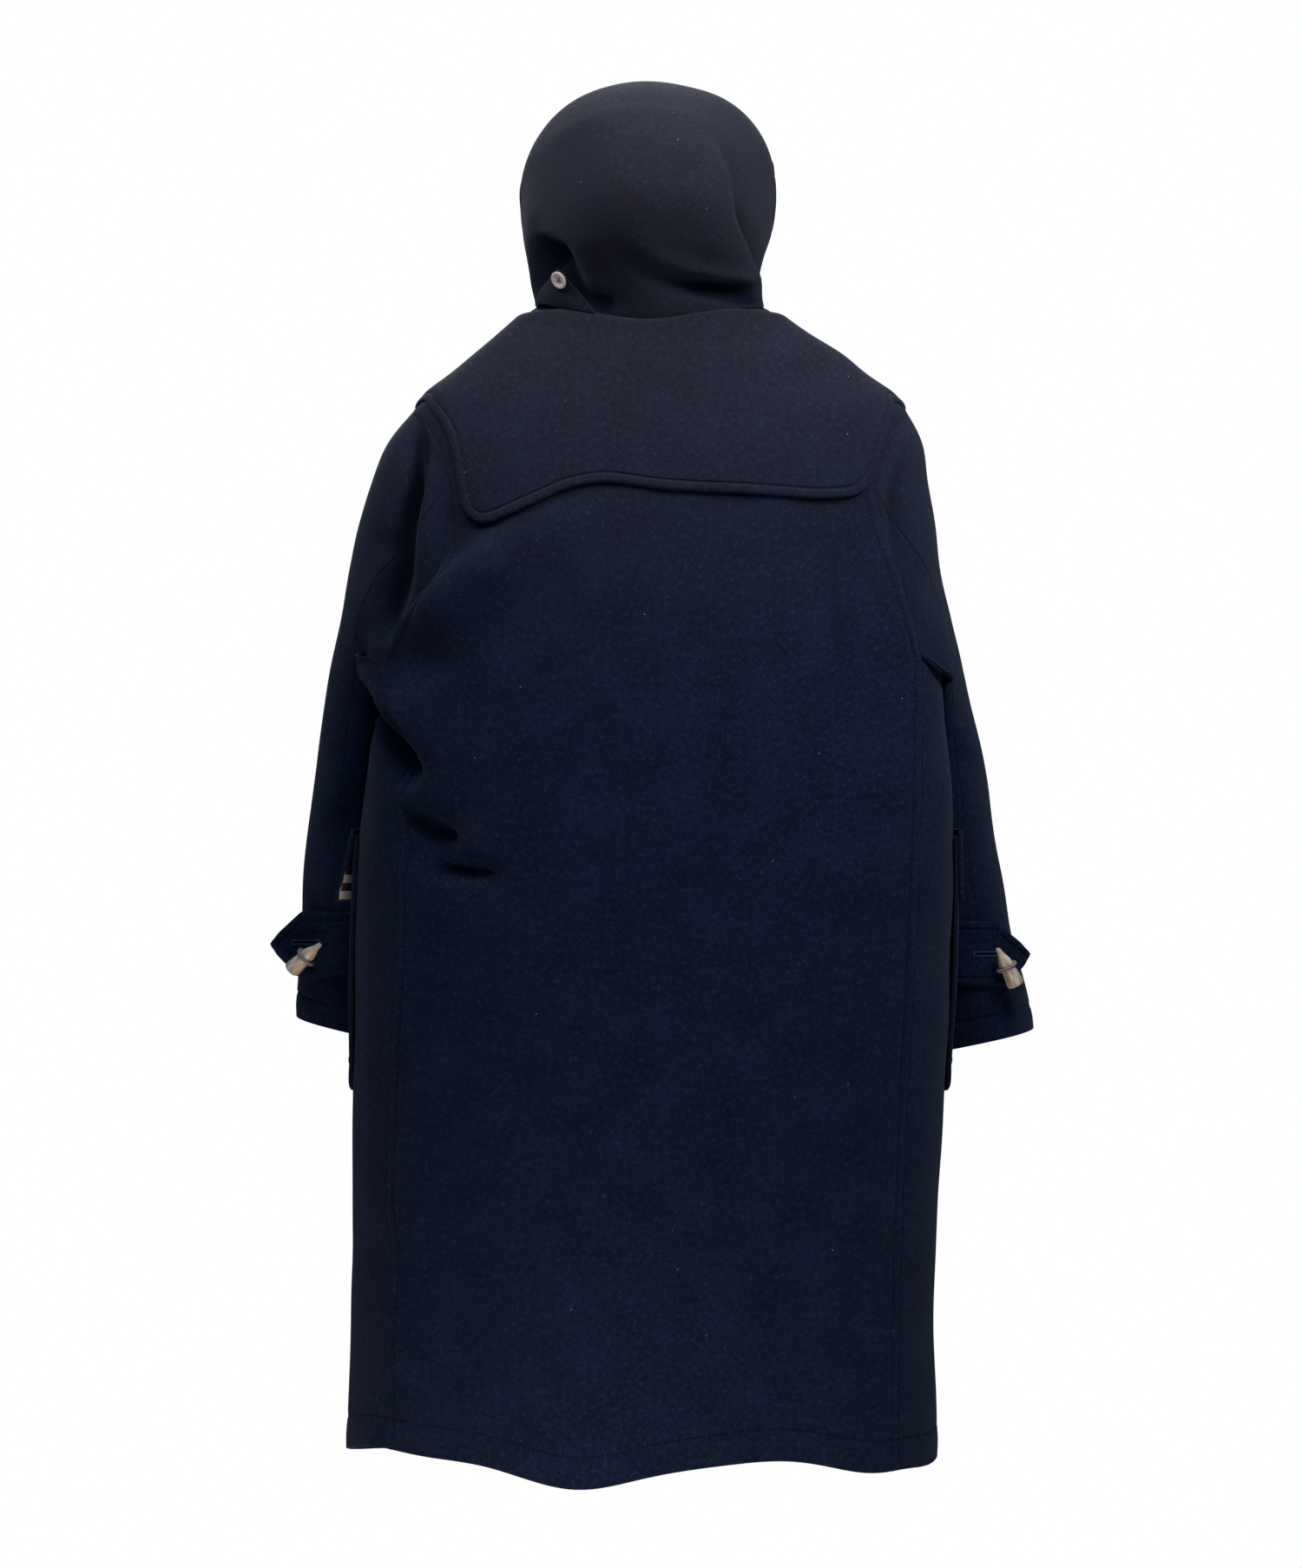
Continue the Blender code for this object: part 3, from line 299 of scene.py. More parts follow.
def curve(knots, values, at):
    # cubic through the values, with the slope at each knot taken from its neighbours
    slopes = np.gradient(values, knots)
    at = np.clip(at, knots[0], knots[-1])
    i = np.clip(np.searchsorted(knots, at, side="right") - 1, 0, len(knots) - 2)
    span = knots[i + 1] - knots[i]
    return cubic((at - knots[i]) / span, values[i], span * slopes[i], values[i + 1], span * slopes[i + 1])


def between(values, at, closed=False):
    # reads rows of values at fractional row numbers, on a cubic through four neighbours
    count = len(values)
    i = np.floor(at).astype(int) if closed else np.clip(np.floor(at).astype(int), 0, count - 2)
    t = (at - i).reshape((-1,) + (1,) * (values.ndim - 1))
    if closed:
        a, b, c, d = (values[(i + k) % count] for k in (-1, 0, 1, 2))
    else:
        longer = np.concatenate([[2 * values[0] - values[1]], values, [2 * values[-1] - values[-2]]])
        a, b, c, d = (longer[i + 1 + k] for k in (-1, 0, 1, 2))
    return b + 0.5 * t * (c - a + t * (2 * a - 5 * b + 4 * c - d + t * (3 * (b - c) + d - a)))


# in mm from an edge
nearEdge = (0, 0.25, 0.6, 1.1, 1.8, 2.8, 4.2, 6, 7.6, 8.6, 9.2, 9.8, 10.4, 11.4, 13.2, 16, 20)


def stations(length, widest, start=True, end=True, extra=()):
    # distances along a length, close together near a worked edge and near its stitched line
    near = np.unique(np.concatenate([nearEdge, extra])) * mm
    low = near if start else np.array([0.0])
    high = length - near[::-1] if end else np.array([length])
    middle = np.linspace(low[-1], high[0], max(int((high[0] - low[-1]) / widest), 2) + 1)[1:-1]
    return np.concatenate([low, middle, high])


def gridNormal(points, middle=None):
    # normal of a grid of points, turned away from the middle where one is given
    normal = unit(np.cross(np.gradient(points, axis=1), np.gradient(points, axis=0)))
    return normal if middle is None else normal * np.sign(((points - middle) * normal).sum(-1, keepdims=True))


def runAlong(path):
    # distance along a path at each of its points
    return np.concatenate([[0], np.cumsum(np.linalg.norm(np.diff(path, axis=0), axis=1))])


def quarterDrop(distance, radius):
    # how far a quarter circle has dropped at this distance from the edge that it rounds
    return radius * (1 - np.sqrt(1 - np.clip(1 - distance / radius, 0, 1) ** 2))


def bellLines(x, z, rows):
    # bells of a height and width along straight lines, each row x, z, x, z, width and height in mm, added up
    out = np.zeros(np.broadcast(x, z).shape)
    for x0, z0, x1, z1, width, height in np.array(rows) * mm:
        dx, dz = x1 - x0, z1 - z0
        along = np.clip(((x - x0) * dx + (z - z0) * dz) / (dx**2 + dz**2), 0, 1)
        away = np.hypot(x - x0 - along * dx, z - z0 - along * dz)
        out = out + height * np.exp(-((away / width) ** 2))
    return out


def distances(points):
    # how far each point is from the four sides of its grid, measured along the cloth
    along = np.pad(np.linalg.norm(np.diff(points, axis=1), axis=-1), ((0, 0), (1, 0))).cumsum(axis=1)
    up = np.pad(np.linalg.norm(np.diff(points, axis=0), axis=-1), ((1, 0), (0, 0))).cumsum(axis=0)
    return {"left": along, "right": along[:, -1:] - along, "bottom": up, "top": up[-1:] - up}


def worked(points, edges, thickness, reach=None):
    # how far the outer and inner faces lie from the cloth's outer surface, and the map of its stitched lines:
    # a quarter circle over each edge, a bell sunk along each line and a bell raised between line and edge
    reach = reach or distances(points)
    outer, inner = np.zeros(points.shape[:2]), np.full(points.shape[:2], -thickness)
    offset, run = np.full(points.shape[:2], 1.0), np.zeros(points.shape[:2])
    for side, (kind, stitch) in edges.items():
        d = reach[side]
        drop = quarterDrop(d, thickness / 2 if kind == "free" else cloth["sewnRound"])
        outer = outer - drop
        inner = inner + drop * (kind == "free")
        if stitch:
            line = d - stitch
            outer = outer - cloth["groove"] * np.exp(-((line / cloth["grooveWidth"]) ** 2))
            outer = outer + cloth["puff"] * np.exp(-(((d - stitch * 0.5) / (stitch * 0.36)) ** 2))
            near = np.abs(line) < np.abs(offset)
            offset = np.where(near, line, offset)
            run = np.where(near, reach["bottom" if side in ("left", "right") else "left"], run)
    return outer, inner, np.stack([run, offset], axis=-1)


def meshPiece(name, points, faces, maps, material):
    # points, faces and maps go in as whole arrays; all faces are turned if the volume comes out negative
    a, b, c, d = (points[faces[:, i]] for i in range(4))
    if ((np.cross(b - a, c - a) + np.cross(c - a, d - a)) * a).sum() < 0:
        faces = faces[:, ::-1]
    mesh = bpy.data.meshes.new(name)
    mesh.from_pydata(points.tolist(), [], [tuple(dict.fromkeys(face)) for face in faces.tolist()])
    mesh.polygons.foreach_set("use_smooth", np.ones(len(mesh.polygons), dtype=bool))
    corner = np.empty(len(mesh.loops), dtype=np.int32)
    mesh.loops.foreach_get("vertex_index", corner)
    for key, values in maps.items():
        layer = mesh.uv_layers.new(name=key)
        layer.data.foreach_set("uv", values.reshape(-1, 2)[corner].astype(np.float32).ravel())
    mesh.materials.append(material)
    piece = bpy.data.objects.new(name, mesh)
    bpy.context.scene.collection.objects.link(piece)
    return piece


def wallPiece(name, outer, inner, cut, seams, material, out=0.0):
    # a wall between two grids of points, joined all round their rim; a further map tells how deep a fold is,
    # for the shade painted into the folds
    rows, columns = outer.shape[:2]
    count = rows * columns
    index = np.arange(count).reshape(rows, columns)
    quads = np.stack([index[:-1, :-1], index[:-1, 1:], index[1:, 1:], index[1:, :-1]], axis=-1).reshape(-1, 4)
    rim = np.concatenate([index[0, :-1], index[:-1, -1], index[-1, :0:-1], index[:0:-1, 0]])
    following = np.roll(rim, -1)
    faces = np.concatenate([quads, quads[:, ::-1] + count,
                            np.stack([following, rim, rim + count, following + count], axis=-1)])
    face = np.zeros((2 * count, 2))
    face[count:, 0] = 1
    face[count:, 1] = np.min(list(distances(outer).values()), axis=0).ravel()
    foldShade = np.zeros((2 * count, 2))
    foldShade[:count, 0] = np.ravel(np.clip(-out, 0, None))
    maps = {"cut": np.concatenate([cut, cut]), "seams": np.concatenate([seams, seams + (0, 1)]),
            "face": face, "foldShade": foldShade}
    points = np.concatenate([outer.reshape(-1, 3), inner.reshape(-1, 3)])
    return meshPiece(name, points, faces, maps, material)


def workedWall(name, surface, normal, edges, thickness, material, cut=None, reach=None, out=0.0):
    # a wall whose two faces are the surface moved along its normal by what the worked edges ask
    outerLift, innerLift, seams = worked(surface, edges, thickness, reach)
    cut = panelCut(surface) if cut is None else cut
    return wallPiece(name, surface + normal * outerLift[..., None], surface + normal * innerLift[..., None],
                     cut, seams, material, out)


def roundPiece(name, rings, material, lengthwise):
    # closed rings of points along a path, with a point at each end; the cut map is length by girth
    rows, columns = rings.shape[:2]
    index = np.arange(rows * columns).reshape(rows, columns)
    beside = np.roll(index, -1, axis=1)
    quads = np.stack([index[:-1], beside[:-1], beside[1:], index[1:]], axis=-1).reshape(-1, 4)
    caps = []
    for row, pole in ((0, rows * columns), (rows - 1, rows * columns + 1)):
        tip = np.full(columns, pole)
        caps.append(np.stack([index[row], tip, tip, beside[row]], axis=-1)[:, :: 1 if row else -1])
    girth = np.linalg.norm(np.roll(rings, -1, axis=1) - rings, axis=-1).sum(axis=1).max()
    cut = np.stack(np.broadcast_arrays(lengthwise[:, None], np.linspace(0, girth, columns)), axis=-1)
    poles = np.stack([rings[0].mean(axis=0), rings[-1].mean(axis=0)])
    cut = np.concatenate([cut.reshape(-1, 2), [[lengthwise[0], 0], [lengthwise[-1], 0]]])
    return meshPiece(name, np.concatenate([rings.reshape(-1, 3), poles]), np.concatenate([quads, *caps]),
                     {"cut": cut, "seams": np.ones_like(cut)}, material)


def tubePiece(name, path, radius, material, around=12):
    # circles of one radius square to the path
    tangent = unit(np.gradient(path, axis=0))
    side = unit(np.cross(tangent, (0.13, 0.21, 0.97)))
    up = np.cross(side, tangent)
    angle = np.linspace(0, 2 * np.pi, around, endpoint=False)[:, None]
    rings = path[:, None] + radius * (np.cos(angle) * side[:, None] + np.sin(angle) * up[:, None])
    return roundPiece(name, rings, material, runAlong(path))


def dress(piece, node):
    # the whole coat is one body, so every piece rides on the root
    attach(piece, "root")
    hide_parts(node)
    return piece


# The body that every panel is cut from. Its rows run from hem to neck: the height of the sides, how far out
# they lie left and right, the middle's y, and how far out and how high the back and the front lie, in mm.
torso = {
    "columns": ("sideZ", "left", "right", "midY", "back", "backZ", "front", "frontZ",
                "backSquare", "frontSquare"),
    "sections": [
        (-1070, 281, 271, 8, 150, -1082, 156, -1074, 2.3, 2.0),
        (-900, 276, 270, 10, 148, -903, 154, -903, 2.3, 1.95),
        (-750, 274, 278, 14, 146, -751, 152, -751, 2.3, 1.9),
        (-600, 273, 286, 20, 142, -600, 150, -600, 2.3, 1.8),
        (-480, 267, 286, 26, 138, -480, 147, -480, 2.3, 1.75),
        (-400, 258, 281, 30, 134, -400, 144, -400, 2.3, 1.75),
        (-330, 249, 273, 30, 130, -330, 140, -330, 2.3, 1.75),
        (-270, 244, 266, 26, 126, -272, 134, -274, 2.3, 1.8),
        (-205, 241, 260, 18, 120, -212, 126, -218, 2.4, 1.9),
        (-150, 236, 255, 9, 112, -162, 116, -175, 2.5, 2.1),
        (-118, 228, 250, 3, 105, -132, 107, -152, 2.5, 2.2),
        (-95, 216, 241, 0, 98, -107, 101, -134, 2.5, 2.3),
        (-62, 176, 193, 0, 87, -73, 94, -108, 2.4, 2.3),
        (-30, 138, 150, 0, 76, -42, 86, -84, 2.2, 2.2),
        (0, 104, 110, 0, 65, -17, 76, -60, 2.0, 2.0),
    ],
    # soft ridges and troughs seen from behind: start, end, width and height in mm
    "softFolds": [
        (70, -200, 172, -258, 26, 7), (136, -248, 180, -284, 20, 12), (188, -376, 222, -430, 22, -6),
        (176, -474, 222, -502, 17, -8), (146, -532, 200, -516, 14, -7), (-184, -228, -172, -396, 30, -6),
        (236, -885, 100, -1020, 30, -7), (70, -960, 64, -1110, 62, 14), (-116, -900, -118, -1110, 48, -10),
        (205, -940, 225, -1110, 42, -6)],
    # waves of the hem: x, width and how far down it dips, in mm
    "hemWaves": [(68, 70, 20), (-118, 60, -2), (-215, 55, 15), (262, 40, -8), (-270, 20, 7)],
    # creases that are sharper on one side: x, z, height, width on the line's left and on its right, in mm
    "creases": [
        [(74, -186, 0, 20, 44), (110, -210, 5, 20, 44), (150, -240, 9, 16, 42), (196, -280, 14, 12, 38),
         (226, -300, 17, 11, 32), (246, -314, 15, 12, 26)],
        [(262, -308, 4, 16, 16), (262, -322, 15, 20, 20), (262, -345, 17, 20, 20), (258, -361, 8, 13, 16),
         (252, -374, 0, 8, 10)],
        [(250, -340, 5, 7, 34), (241, -362, 15, 4.5, 44), (229, -388, 17, 4.5, 50), (217, -407, 13, 6, 48),
         (206, -432, 6, 9, 42), (192, -462, 0, 18, 40)],
        [(262, -376, -6, 12, 7), (248, -376, -11, 12, 6), (237, -395, -18, 15, 7), (224, -420, -15, 15, 9),
         (210, -450, 0, 14, 14)],
        [(214, -318, -5, 26, 20), (196, -330, -6, 26, 20), (170, -342, 0, 30, 24)],
        [(240, -446, 0, 12, 30), (222, -460, 5, 9, 30), (188, -482, 5, 9, 32), (160, -500, 0, 10, 30)],
        [(230, -472, -2, 9, 10), (214, -481, -14, 9, 12), (194, -495, -15, 9, 12), (174, -504, -1, 9, 10)],
        [(206, -512, 0, 8, 20), (184, -515, 2, 8, 22), (160, -514, 2, 8, 22), (140, -510, 0, 10, 20)],
        [(208, -519, -1, 7, 9), (191, -525, -12, 7, 9), (168, -527, -12, 7, 9), (146, -526, -1, 7, 9)],
        [(-120, -190, 0, 30, 30), (-168, -240, -4, 26, 22), (-184, -310, -7, 26, 22),
         (-196, -390, -4, 26, 24), (-200, -450, 0, 30, 30)],
        [(-212, -176, 0, 14, 14), (-218, -230, 5, 12, 16), (-232, -290, 5, 12, 18), (-246, -350, 0, 16, 20)]
    ],
    # where a panel's outer edge lies: z, and how far out it is on the left and on the right, in mm
    "sideSeam": [(-1076, 246, 234), (-900, 244, 236), (-750, 240, 242), (-560, 233, 252), (-430, 233, 256),
                 (-330, 235, 256)],
    "armholeBack": [(-330, 235, 256), (-296, 216, 245), (-250, 190, 231), (-205, 186, 218), (-165, 190, 212),
                    (-132, 199, 222), (-110, 209, 233)],
    "armholeFront": [(-312, 234, 256), (-274, 207, 230), (-236, 186, 206), (-200, 177, 196), (-165, 183, 202),
                     (-132, 196, 217), (-110, 207, 231)],
    "shoulderRow": 11, "hemRise": 160 * mm}
sections = table(torso["columns"], torso["sections"])
for lengthColumn in torso["columns"][:8]:
    sections[lengthColumn] = sections[lengthColumn] * mm
# a level is the share of the way from hem to neck, measured along the cloth
backRun = np.hypot(np.diff(sections["back"]), np.diff(sections["backZ"]))
sideRun = np.hypot(np.diff(sections["left"]), np.diff(sections["sideZ"]))
levels = np.concatenate([[0], np.cumsum(backRun + sideRun)])
levels = levels / levels[-1]
shoulderLevel = levels[torso["shoulderRow"]]


def section(level, turn):
    # half-width, half-depth, squareness, height and middle of the section at a turn in degrees
    value = {name: curve(levels, sections[name], level) for name in torso["columns"]}
    c, s = cosSin(turn)
    behind = s >= 0
    width = np.where(c >= 0, value["left"], value["right"])
    depth = np.where(behind, value["back"] - value["midY"], value["front"] + value["midY"])
    square = np.where(behind, value["backSquare"], value["frontSquare"])
    middleZ = np.where(behind, value["backZ"], value["frontZ"])
    height = value["sideZ"] + (middleZ - value["sideZ"]) * s**2
    return width, depth, square, height, value["midY"]


def creaseHeight(x, z, line):
    # the nearest stretch of the line gives its height, which falls off as a bell curve on either side
    line = np.array(line, dtype=float) * mm
    line = between(line, np.linspace(0, len(line) - 1, 4 * len(line) - 3))
    x, z = np.broadcast_arrays(x, z)
    farthest = 90 * mm
    (lowX, lowZ), (highX, highZ) = line[:, :2].min(axis=0) - farthest, line[:, :2].max(axis=0) + farthest
    near = (x > lowX) & (x < highX) & (z > lowZ) & (z < highZ)
    out, x, z = np.zeros(x.shape), x[near], z[near]
    best, height = np.full(x.shape, np.inf), np.zeros(x.shape)
    for start, end in zip(line[:-1], line[1:]):
        dx, dz = end[:2] - start[:2]
        t = np.clip(((x - start[0]) * dx + (z - start[1]) * dz) / (dx**2 + dz**2), 0, 1)
        awayX, awayZ = x - start[0] - t * dx, z - start[1] - t * dz
        away = np.hypot(awayX, awayZ)
        onLeft = ease(-3 * mm, 3 * mm, (dx * awayZ - dz * awayX) / np.hypot(dx, dz))
        top, left, right = (start[k] + t * (end[k] - start[k]) for k in (2, 3, 4))
        here = top * np.exp(-((away / (right + (left - right) * onLeft)) ** 2))
        height = np.where(away < best, here, height)
        best = np.minimum(best, away)
    out[near] = height
    return out


def creased(x, z, lines):
    # height of all the creases together, and how deep the sunk ones alone go
    heights = [creaseHeight(x, z, line) for line in lines]
    return sum(heights), sum(np.minimum(height, 0) for height in heights)


def fromBehind(turn):
    # 1 on the back, easing to 0 as the turn goes round to the front
    return ease(-25, 5, np.degrees(np.arcsin(np.sin(np.radians(turn)))))


def bodySurface(turn, level, creases=torso["creases"]):
    # a rounded-square section whose radius grows by the folds and creases, over a hem that dips in bells
    width, depth, square, z, midY = section(level, turn)
    c, s = cosSin(turn)
    radius = ((np.abs(c) / width) ** square + (np.abs(s) / depth) ** square) ** (-1 / square)
    x = radius * c
    drape = bellLines(x, z, torso["softFolds"]) + sum(creaseHeight(x, z, line) for line in creases)
    radius = radius + drape * fromBehind(turn)
    hem = 1 - ease(0, 1, (z - sections["sideZ"][0]) / torso["hemRise"])
    for x0, spread, drop in np.array(torso["hemWaves"]) * mm:
        z = z - drop * hem * ease(-0.2, 0.3, s) * np.exp(-(((radius * c - x0) / spread) ** 2))
    return np.stack([radius * c, midY + radius * s, z], axis=-1)


def bodyNormal(turn, level, degrees=0.6, share=0.004):
    # square to the surface between neighbouring places round the body and up it
    low, high = np.clip(level - share, 0, 1), np.clip(level + share, 0, 1)
    around = bodySurface(turn + degrees, level) - bodySurface(turn - degrees, level)
    return unit(np.cross(around, bodySurface(turn, high) - bodySurface(turn, low)))


def body(turn, level, lift=0.0):
    # outer surface of the body, moved out by the lift
    turn, level = np.broadcast_arrays(np.asarray(turn, float), np.asarray(level, float))
    point = bodySurface(turn, level)
    return point + bodyNormal(turn, level) * np.asarray(lift)[..., None] if np.any(lift) else point


def levelAt(turn, z):
    # halves the range of levels 30 times
    low, high = np.zeros(np.shape(turn)), np.ones(np.shape(turn))
    for _ in range(30):
        middle = (low + high) / 2
        below = section(middle, turn)[3] < z
        low, high = np.where(below, middle, low), np.where(below, high, middle)
    return (low + high) / 2


def find(x, z, behind):
    # turn and level of the place at x and z, seen from behind or from the front
    turn = np.where(x > 0, 45.0, 135.0) * (1 if behind else -1) * np.ones(np.shape(x))
    for _ in range(12):
        level = levelAt(turn, z)
        width, depth, square = section(level, turn)[:3]
        across = np.clip(np.abs(x) / width, 0, 0.9999)
        y = depth * (1 - across**square) ** (1 / square)
        turn = np.degrees(np.arctan2(y if behind else -y, x))
    return turn, level


def sideTurn(turnLeft, side):
    return turnLeft if side > 0 else 180 - turnLeft


def seamCurve(rows, side, behind):
    z, left, right = np.array(rows, dtype=float).T
    return find((left if side > 0 else -right) * mm, z * mm, behind)


def armholeEdge(side, behind, share):
    # turn and level along one half of the armhole, from the underarm to the shoulder
    underTurn, underLevel = seamCurve(torso["armholeBack"][:1], side, True)
    turn, level = seamCurve(torso["armholeBack"][1:] if behind else torso["armholeFront"], side, behind)
    if side < 0:
        turn = np.where(turn < 0, turn + 360, turn)
    turn = np.concatenate([underTurn, turn, [sideTurn(0, side)]])
    level = np.concatenate([underLevel, level, [shoulderLevel]])
    run = runAlong(plainBody(turn, level))
    return curve(run, turn, share * run[-1]), curve(run, level, share * run[-1])


def plainBody(turn, level):
    # the body without its creases, on which seams are measured
    return bodySurface(turn, level, creases=())


panel = {"skirtLength": 0.78, "widths": {"back": 0.5, "front": 0.36},
         "steps": {"back": 5.8 * mm, "front": 7.5 * mm},
         "armRows": 57, "topRows": 19, "dip": 0.025, "overlap": 42 * mm, "hemStitch": 30 * mm,
         # the left front lies over the right one with this gap, and comes down to it between these turns
         "lapGap": 1.4 * mm, "lapFade": (38, 68)}
# shares of the way up each stretch at which a panel's rows lie
hemRows = (26, 28, 29.2, 30, 30.8, 32, 34)  # mm from the hem, close to its stitched line
skirtRows = (stations(panel["skirtLength"], 0.0065, end=False, extra=hemRows) / panel["skirtLength"])[:-1]
armRows = np.linspace(0, 1, panel["armRows"])
topRows = np.linspace(0, 1, panel["topRows"])[1:]


def panelEdge(side, behind):
    # turn and level of a panel's outer edge, hem to neck: side seam, armhole, shoulder seam
    seamTurn, seamLevel = seamCurve(torso["sideSeam"], side, True)
    armTurn, armLevel = armholeEdge(side, behind, armRows)
    skirtLevel = skirtRows * armLevel[0]
    skirtTurn = curve(seamLevel, seamTurn, np.clip(skirtLevel, seamLevel[0], None))
    topLevel = shoulderLevel + (1 - shoulderLevel) * topRows
    topTurn = np.full(len(topLevel), float(sideTurn(0, side)))
    return np.concatenate([skirtTurn, armTurn, topTurn]), np.concatenate([skirtLevel, armLevel, topLevel])


def middleLevels(edgeLevel):
    # levels of a panel's rows at its middle, where the rows of the armhole are spread out evenly
    under = edgeLevel[len(skirtRows)] - panel["dip"]
    return np.concatenate([skirtRows * under, under + (shoulderLevel - under) * armRows,
                           shoulderLevel + (1 - shoulderLevel) * topRows])


def armholeRing(side, share):
    # points all round the armhole, back half first, and the way out of it at each point
    back, front = (plainBody(*armholeEdge(side, behind, share)) for behind in (True, False))
    ring = np.concatenate([back, front[-2:0:-1]])
    along = unit(np.roll(ring, -1, axis=0) - np.roll(ring, 1, axis=0))
    away = unit(np.cross(along, (ring.mean(axis=0) - ring) * (0.25, 1, 1)))
    return ring, away * np.sign(away[:, :1]) * side


def heldBack(inner, outer, away):
    # keeps the inner side of a cut edge on its own side of the seam
    return inner - np.clip(((inner - outer) * away).sum(axis=-1, keepdims=True), 0, None) * away


def panelCut(points):
    # the cloth's own map: metres across, growing to the right as the panel is seen, and metres up
    reach = distances(points)
    middle = points.shape[1] // 2
    across = reach["left"] - reach["left"][:, middle:middle + 1]
    return np.stack(np.broadcast_arrays(across, reach["bottom"][:, middle:middle + 1]), axis=-1)


def frontLap(turn, side):
    # how far the left front and what is sewn to it lie out over the right one near the middle
    away = np.abs(turn + 90 if side > 0 else turn - 270)
    lap = cloth["thickness"] + panel["lapGap"]
    return (1 - ease(*panel["lapFade"], away)) * lap if side > 0 else np.zeros(np.shape(turn))


def unevenness(points, spread=1.2 * mm):
    # slight waves of hanging cloth: three slow ones across and along it
    x, y, z = np.moveaxis(points, -1, 0)
    return spread * (np.sin(31 * x + 9 * z) * np.cos(13 * z - 7 * x) + 0.6 * np.sin(57 * z + 23 * x + 2.1)
                     * np.cos(41 * x - 17 * y) + 0.4 * np.sin(83 * x + 37 * z))


def neckInside(edge):
    # the inner side of a neck seam lies level with the outer one, the cloth's thickness nearer the middle
    return edge - cloth["thickness"] * unit(edge * (1, 1, 0))


def panelPiece(name, turn, level, lift, edges, armSides, material):
    # the body's surface between two edges, uneven away from its seams, with the armhole's cut held square
    surface = body(turn, level, lift)
    normal = bodyNormal(turn, level)
    reach = distances(surface)
    outerLift, innerLift, seams = worked(surface, edges, cloth["thickness"], reach)
    fromSeams = np.min([reach[side] for side in ("left", "right", "top")], axis=0)
    uneven = unevenness(surface) * ease(0, 0.03, fromSeams)
    outer = surface + normal * (outerLift + uneven)[..., None]
    inner = surface + normal * (innerLift + uneven)[..., None]
    arm = slice(len(skirtRows), len(skirtRows) + len(armRows))
    for column, side, behind in armSides:
        away = armholeRing(side, armRows)[1]
        away = away[:len(armRows)] if behind else np.roll(away[::-1], 1, axis=0)[:len(armRows)]
        inner[arm, column] = heldBack(inner[arm, column], outer[arm, column], away)
    inner[-1] = neckInside(outer[-1])
    # how deep the sunk creases go, which sets the painted shade in them
    deep = creased(surface[..., 0], surface[..., 2], torso["creases"])[1] * fromBehind(turn)
    return wallPiece(name, outer, inner, panelCut(surface), seams, material, deep)


def makeBack():
    # turns run straight from one outer edge to the other, and levels bow from the middle to the edges
    leftTurn, leftLevel = panelEdge(1, True)
    rightTurn, rightLevel = panelEdge(-1, True)
    across = stations(panel["widths"]["back"], panel["steps"]["back"]) / panel["widths"]["back"]
    turn = leftTurn[:, None] * (1 - across) + rightTurn[:, None] * across
    edgeLevel = leftLevel[:, None] * (1 - across) + rightLevel[:, None] * across
    mid = middleLevels((leftLevel + rightLevel) / 2)[:, None]
    level = mid + (edgeLevel - mid) * np.abs(2 * across - 1) ** 3
    edges = {"left": ("sewn", cloth["stitchIn"]), "right": ("sewn", cloth["stitchIn"]),
             "bottom": ("free", panel["hemStitch"]), "top": ("sewn", 0)}
    armSides = (0, 1, True), (-1, -1, True)
    piece = panelPiece("backPanel", turn, level, 0.0, edges, armSides, woolShader("backWool"))
    return dress(piece, "back")


def makeFront(word, side):
    # as the back, from an edge that lies past the middle to the side seam
    edgeTurn, edgeLevel = panelEdge(side, False)
    middleLevel = middleLevels(edgeLevel)
    depth = curve(levels, sections["front"], middleLevel)
    middleTurn = (-90 if side > 0 else 270) - side * np.degrees(np.arctan2(panel["overlap"], depth))
    across = stations(panel["widths"]["front"], panel["steps"]["front"]) / panel["widths"]["front"]
    turn = middleTurn[:, None] * (1 - across) + edgeTurn[:, None] * across
    level = middleLevel[:, None] + (edgeLevel - middleLevel)[:, None] * across**3
    edges = {"left": ("free", cloth["stitchIn"]), "right": ("sewn", 0),
             "bottom": ("free", panel["hemStitch"]), "top": ("sewn", 0)}
    armSides = ((-1, side, False),)
    piece = panelPiece(f"frontPanel{word.title()}", turn, level, frontLap(turn, side), edges, armSides,
                       woolShader(f"front{word.title()}Wool"))
    return dress(piece, f"front_{word}")


back = makeBack()
fronts = {word: makeFront(word, side) for word, side in sides.items()}
print("body panels made")


yoke = {
    # its edge round the coat: x and z in mm, on the left front, across the back and on the right front
    "frontLeft": [(56, -196), (100, -203), (142, -207), (158, -203), (166, -192), (174, -150), (188, -112)],
    "back": [(204, -87), (192, -105), (181, -126), (177, -150), (174, -171), (170, -192), (161, -203),
             (148, -206), (134, -201), (117, -193), (74, -172), (44, -165), (23, -167), (-87, -176),
             (-160, -181), (-194, -179), (-204, -171), (-211, -160), (-216, -143), (-222, -124),
             (-226, -106), (-227, -87)],
    "frontRight": [(-212, -112), (-194, -150), (-184, -192), (-176, -203), (-160, -207), (-120, -204),
                   (-86, -199)],
    "lie": 1.0 * mm, "thickness": 4.2 * mm, "neckDip": 0.010, "rise": 3.0 * mm, "stitch": 9.0 * mm,
    "around": 420, "down": 0.18, "downRows": (5, 6.8, 12, 14.5, 18, 22, 24), "foldedEdge": 60 * mm,
    # fullness over the right shoulder: its height, how wide it is up and down, and how far it stands out
    "swell": (-0.052, 0.018, 4 * mm), "sink": 2.5 * mm}


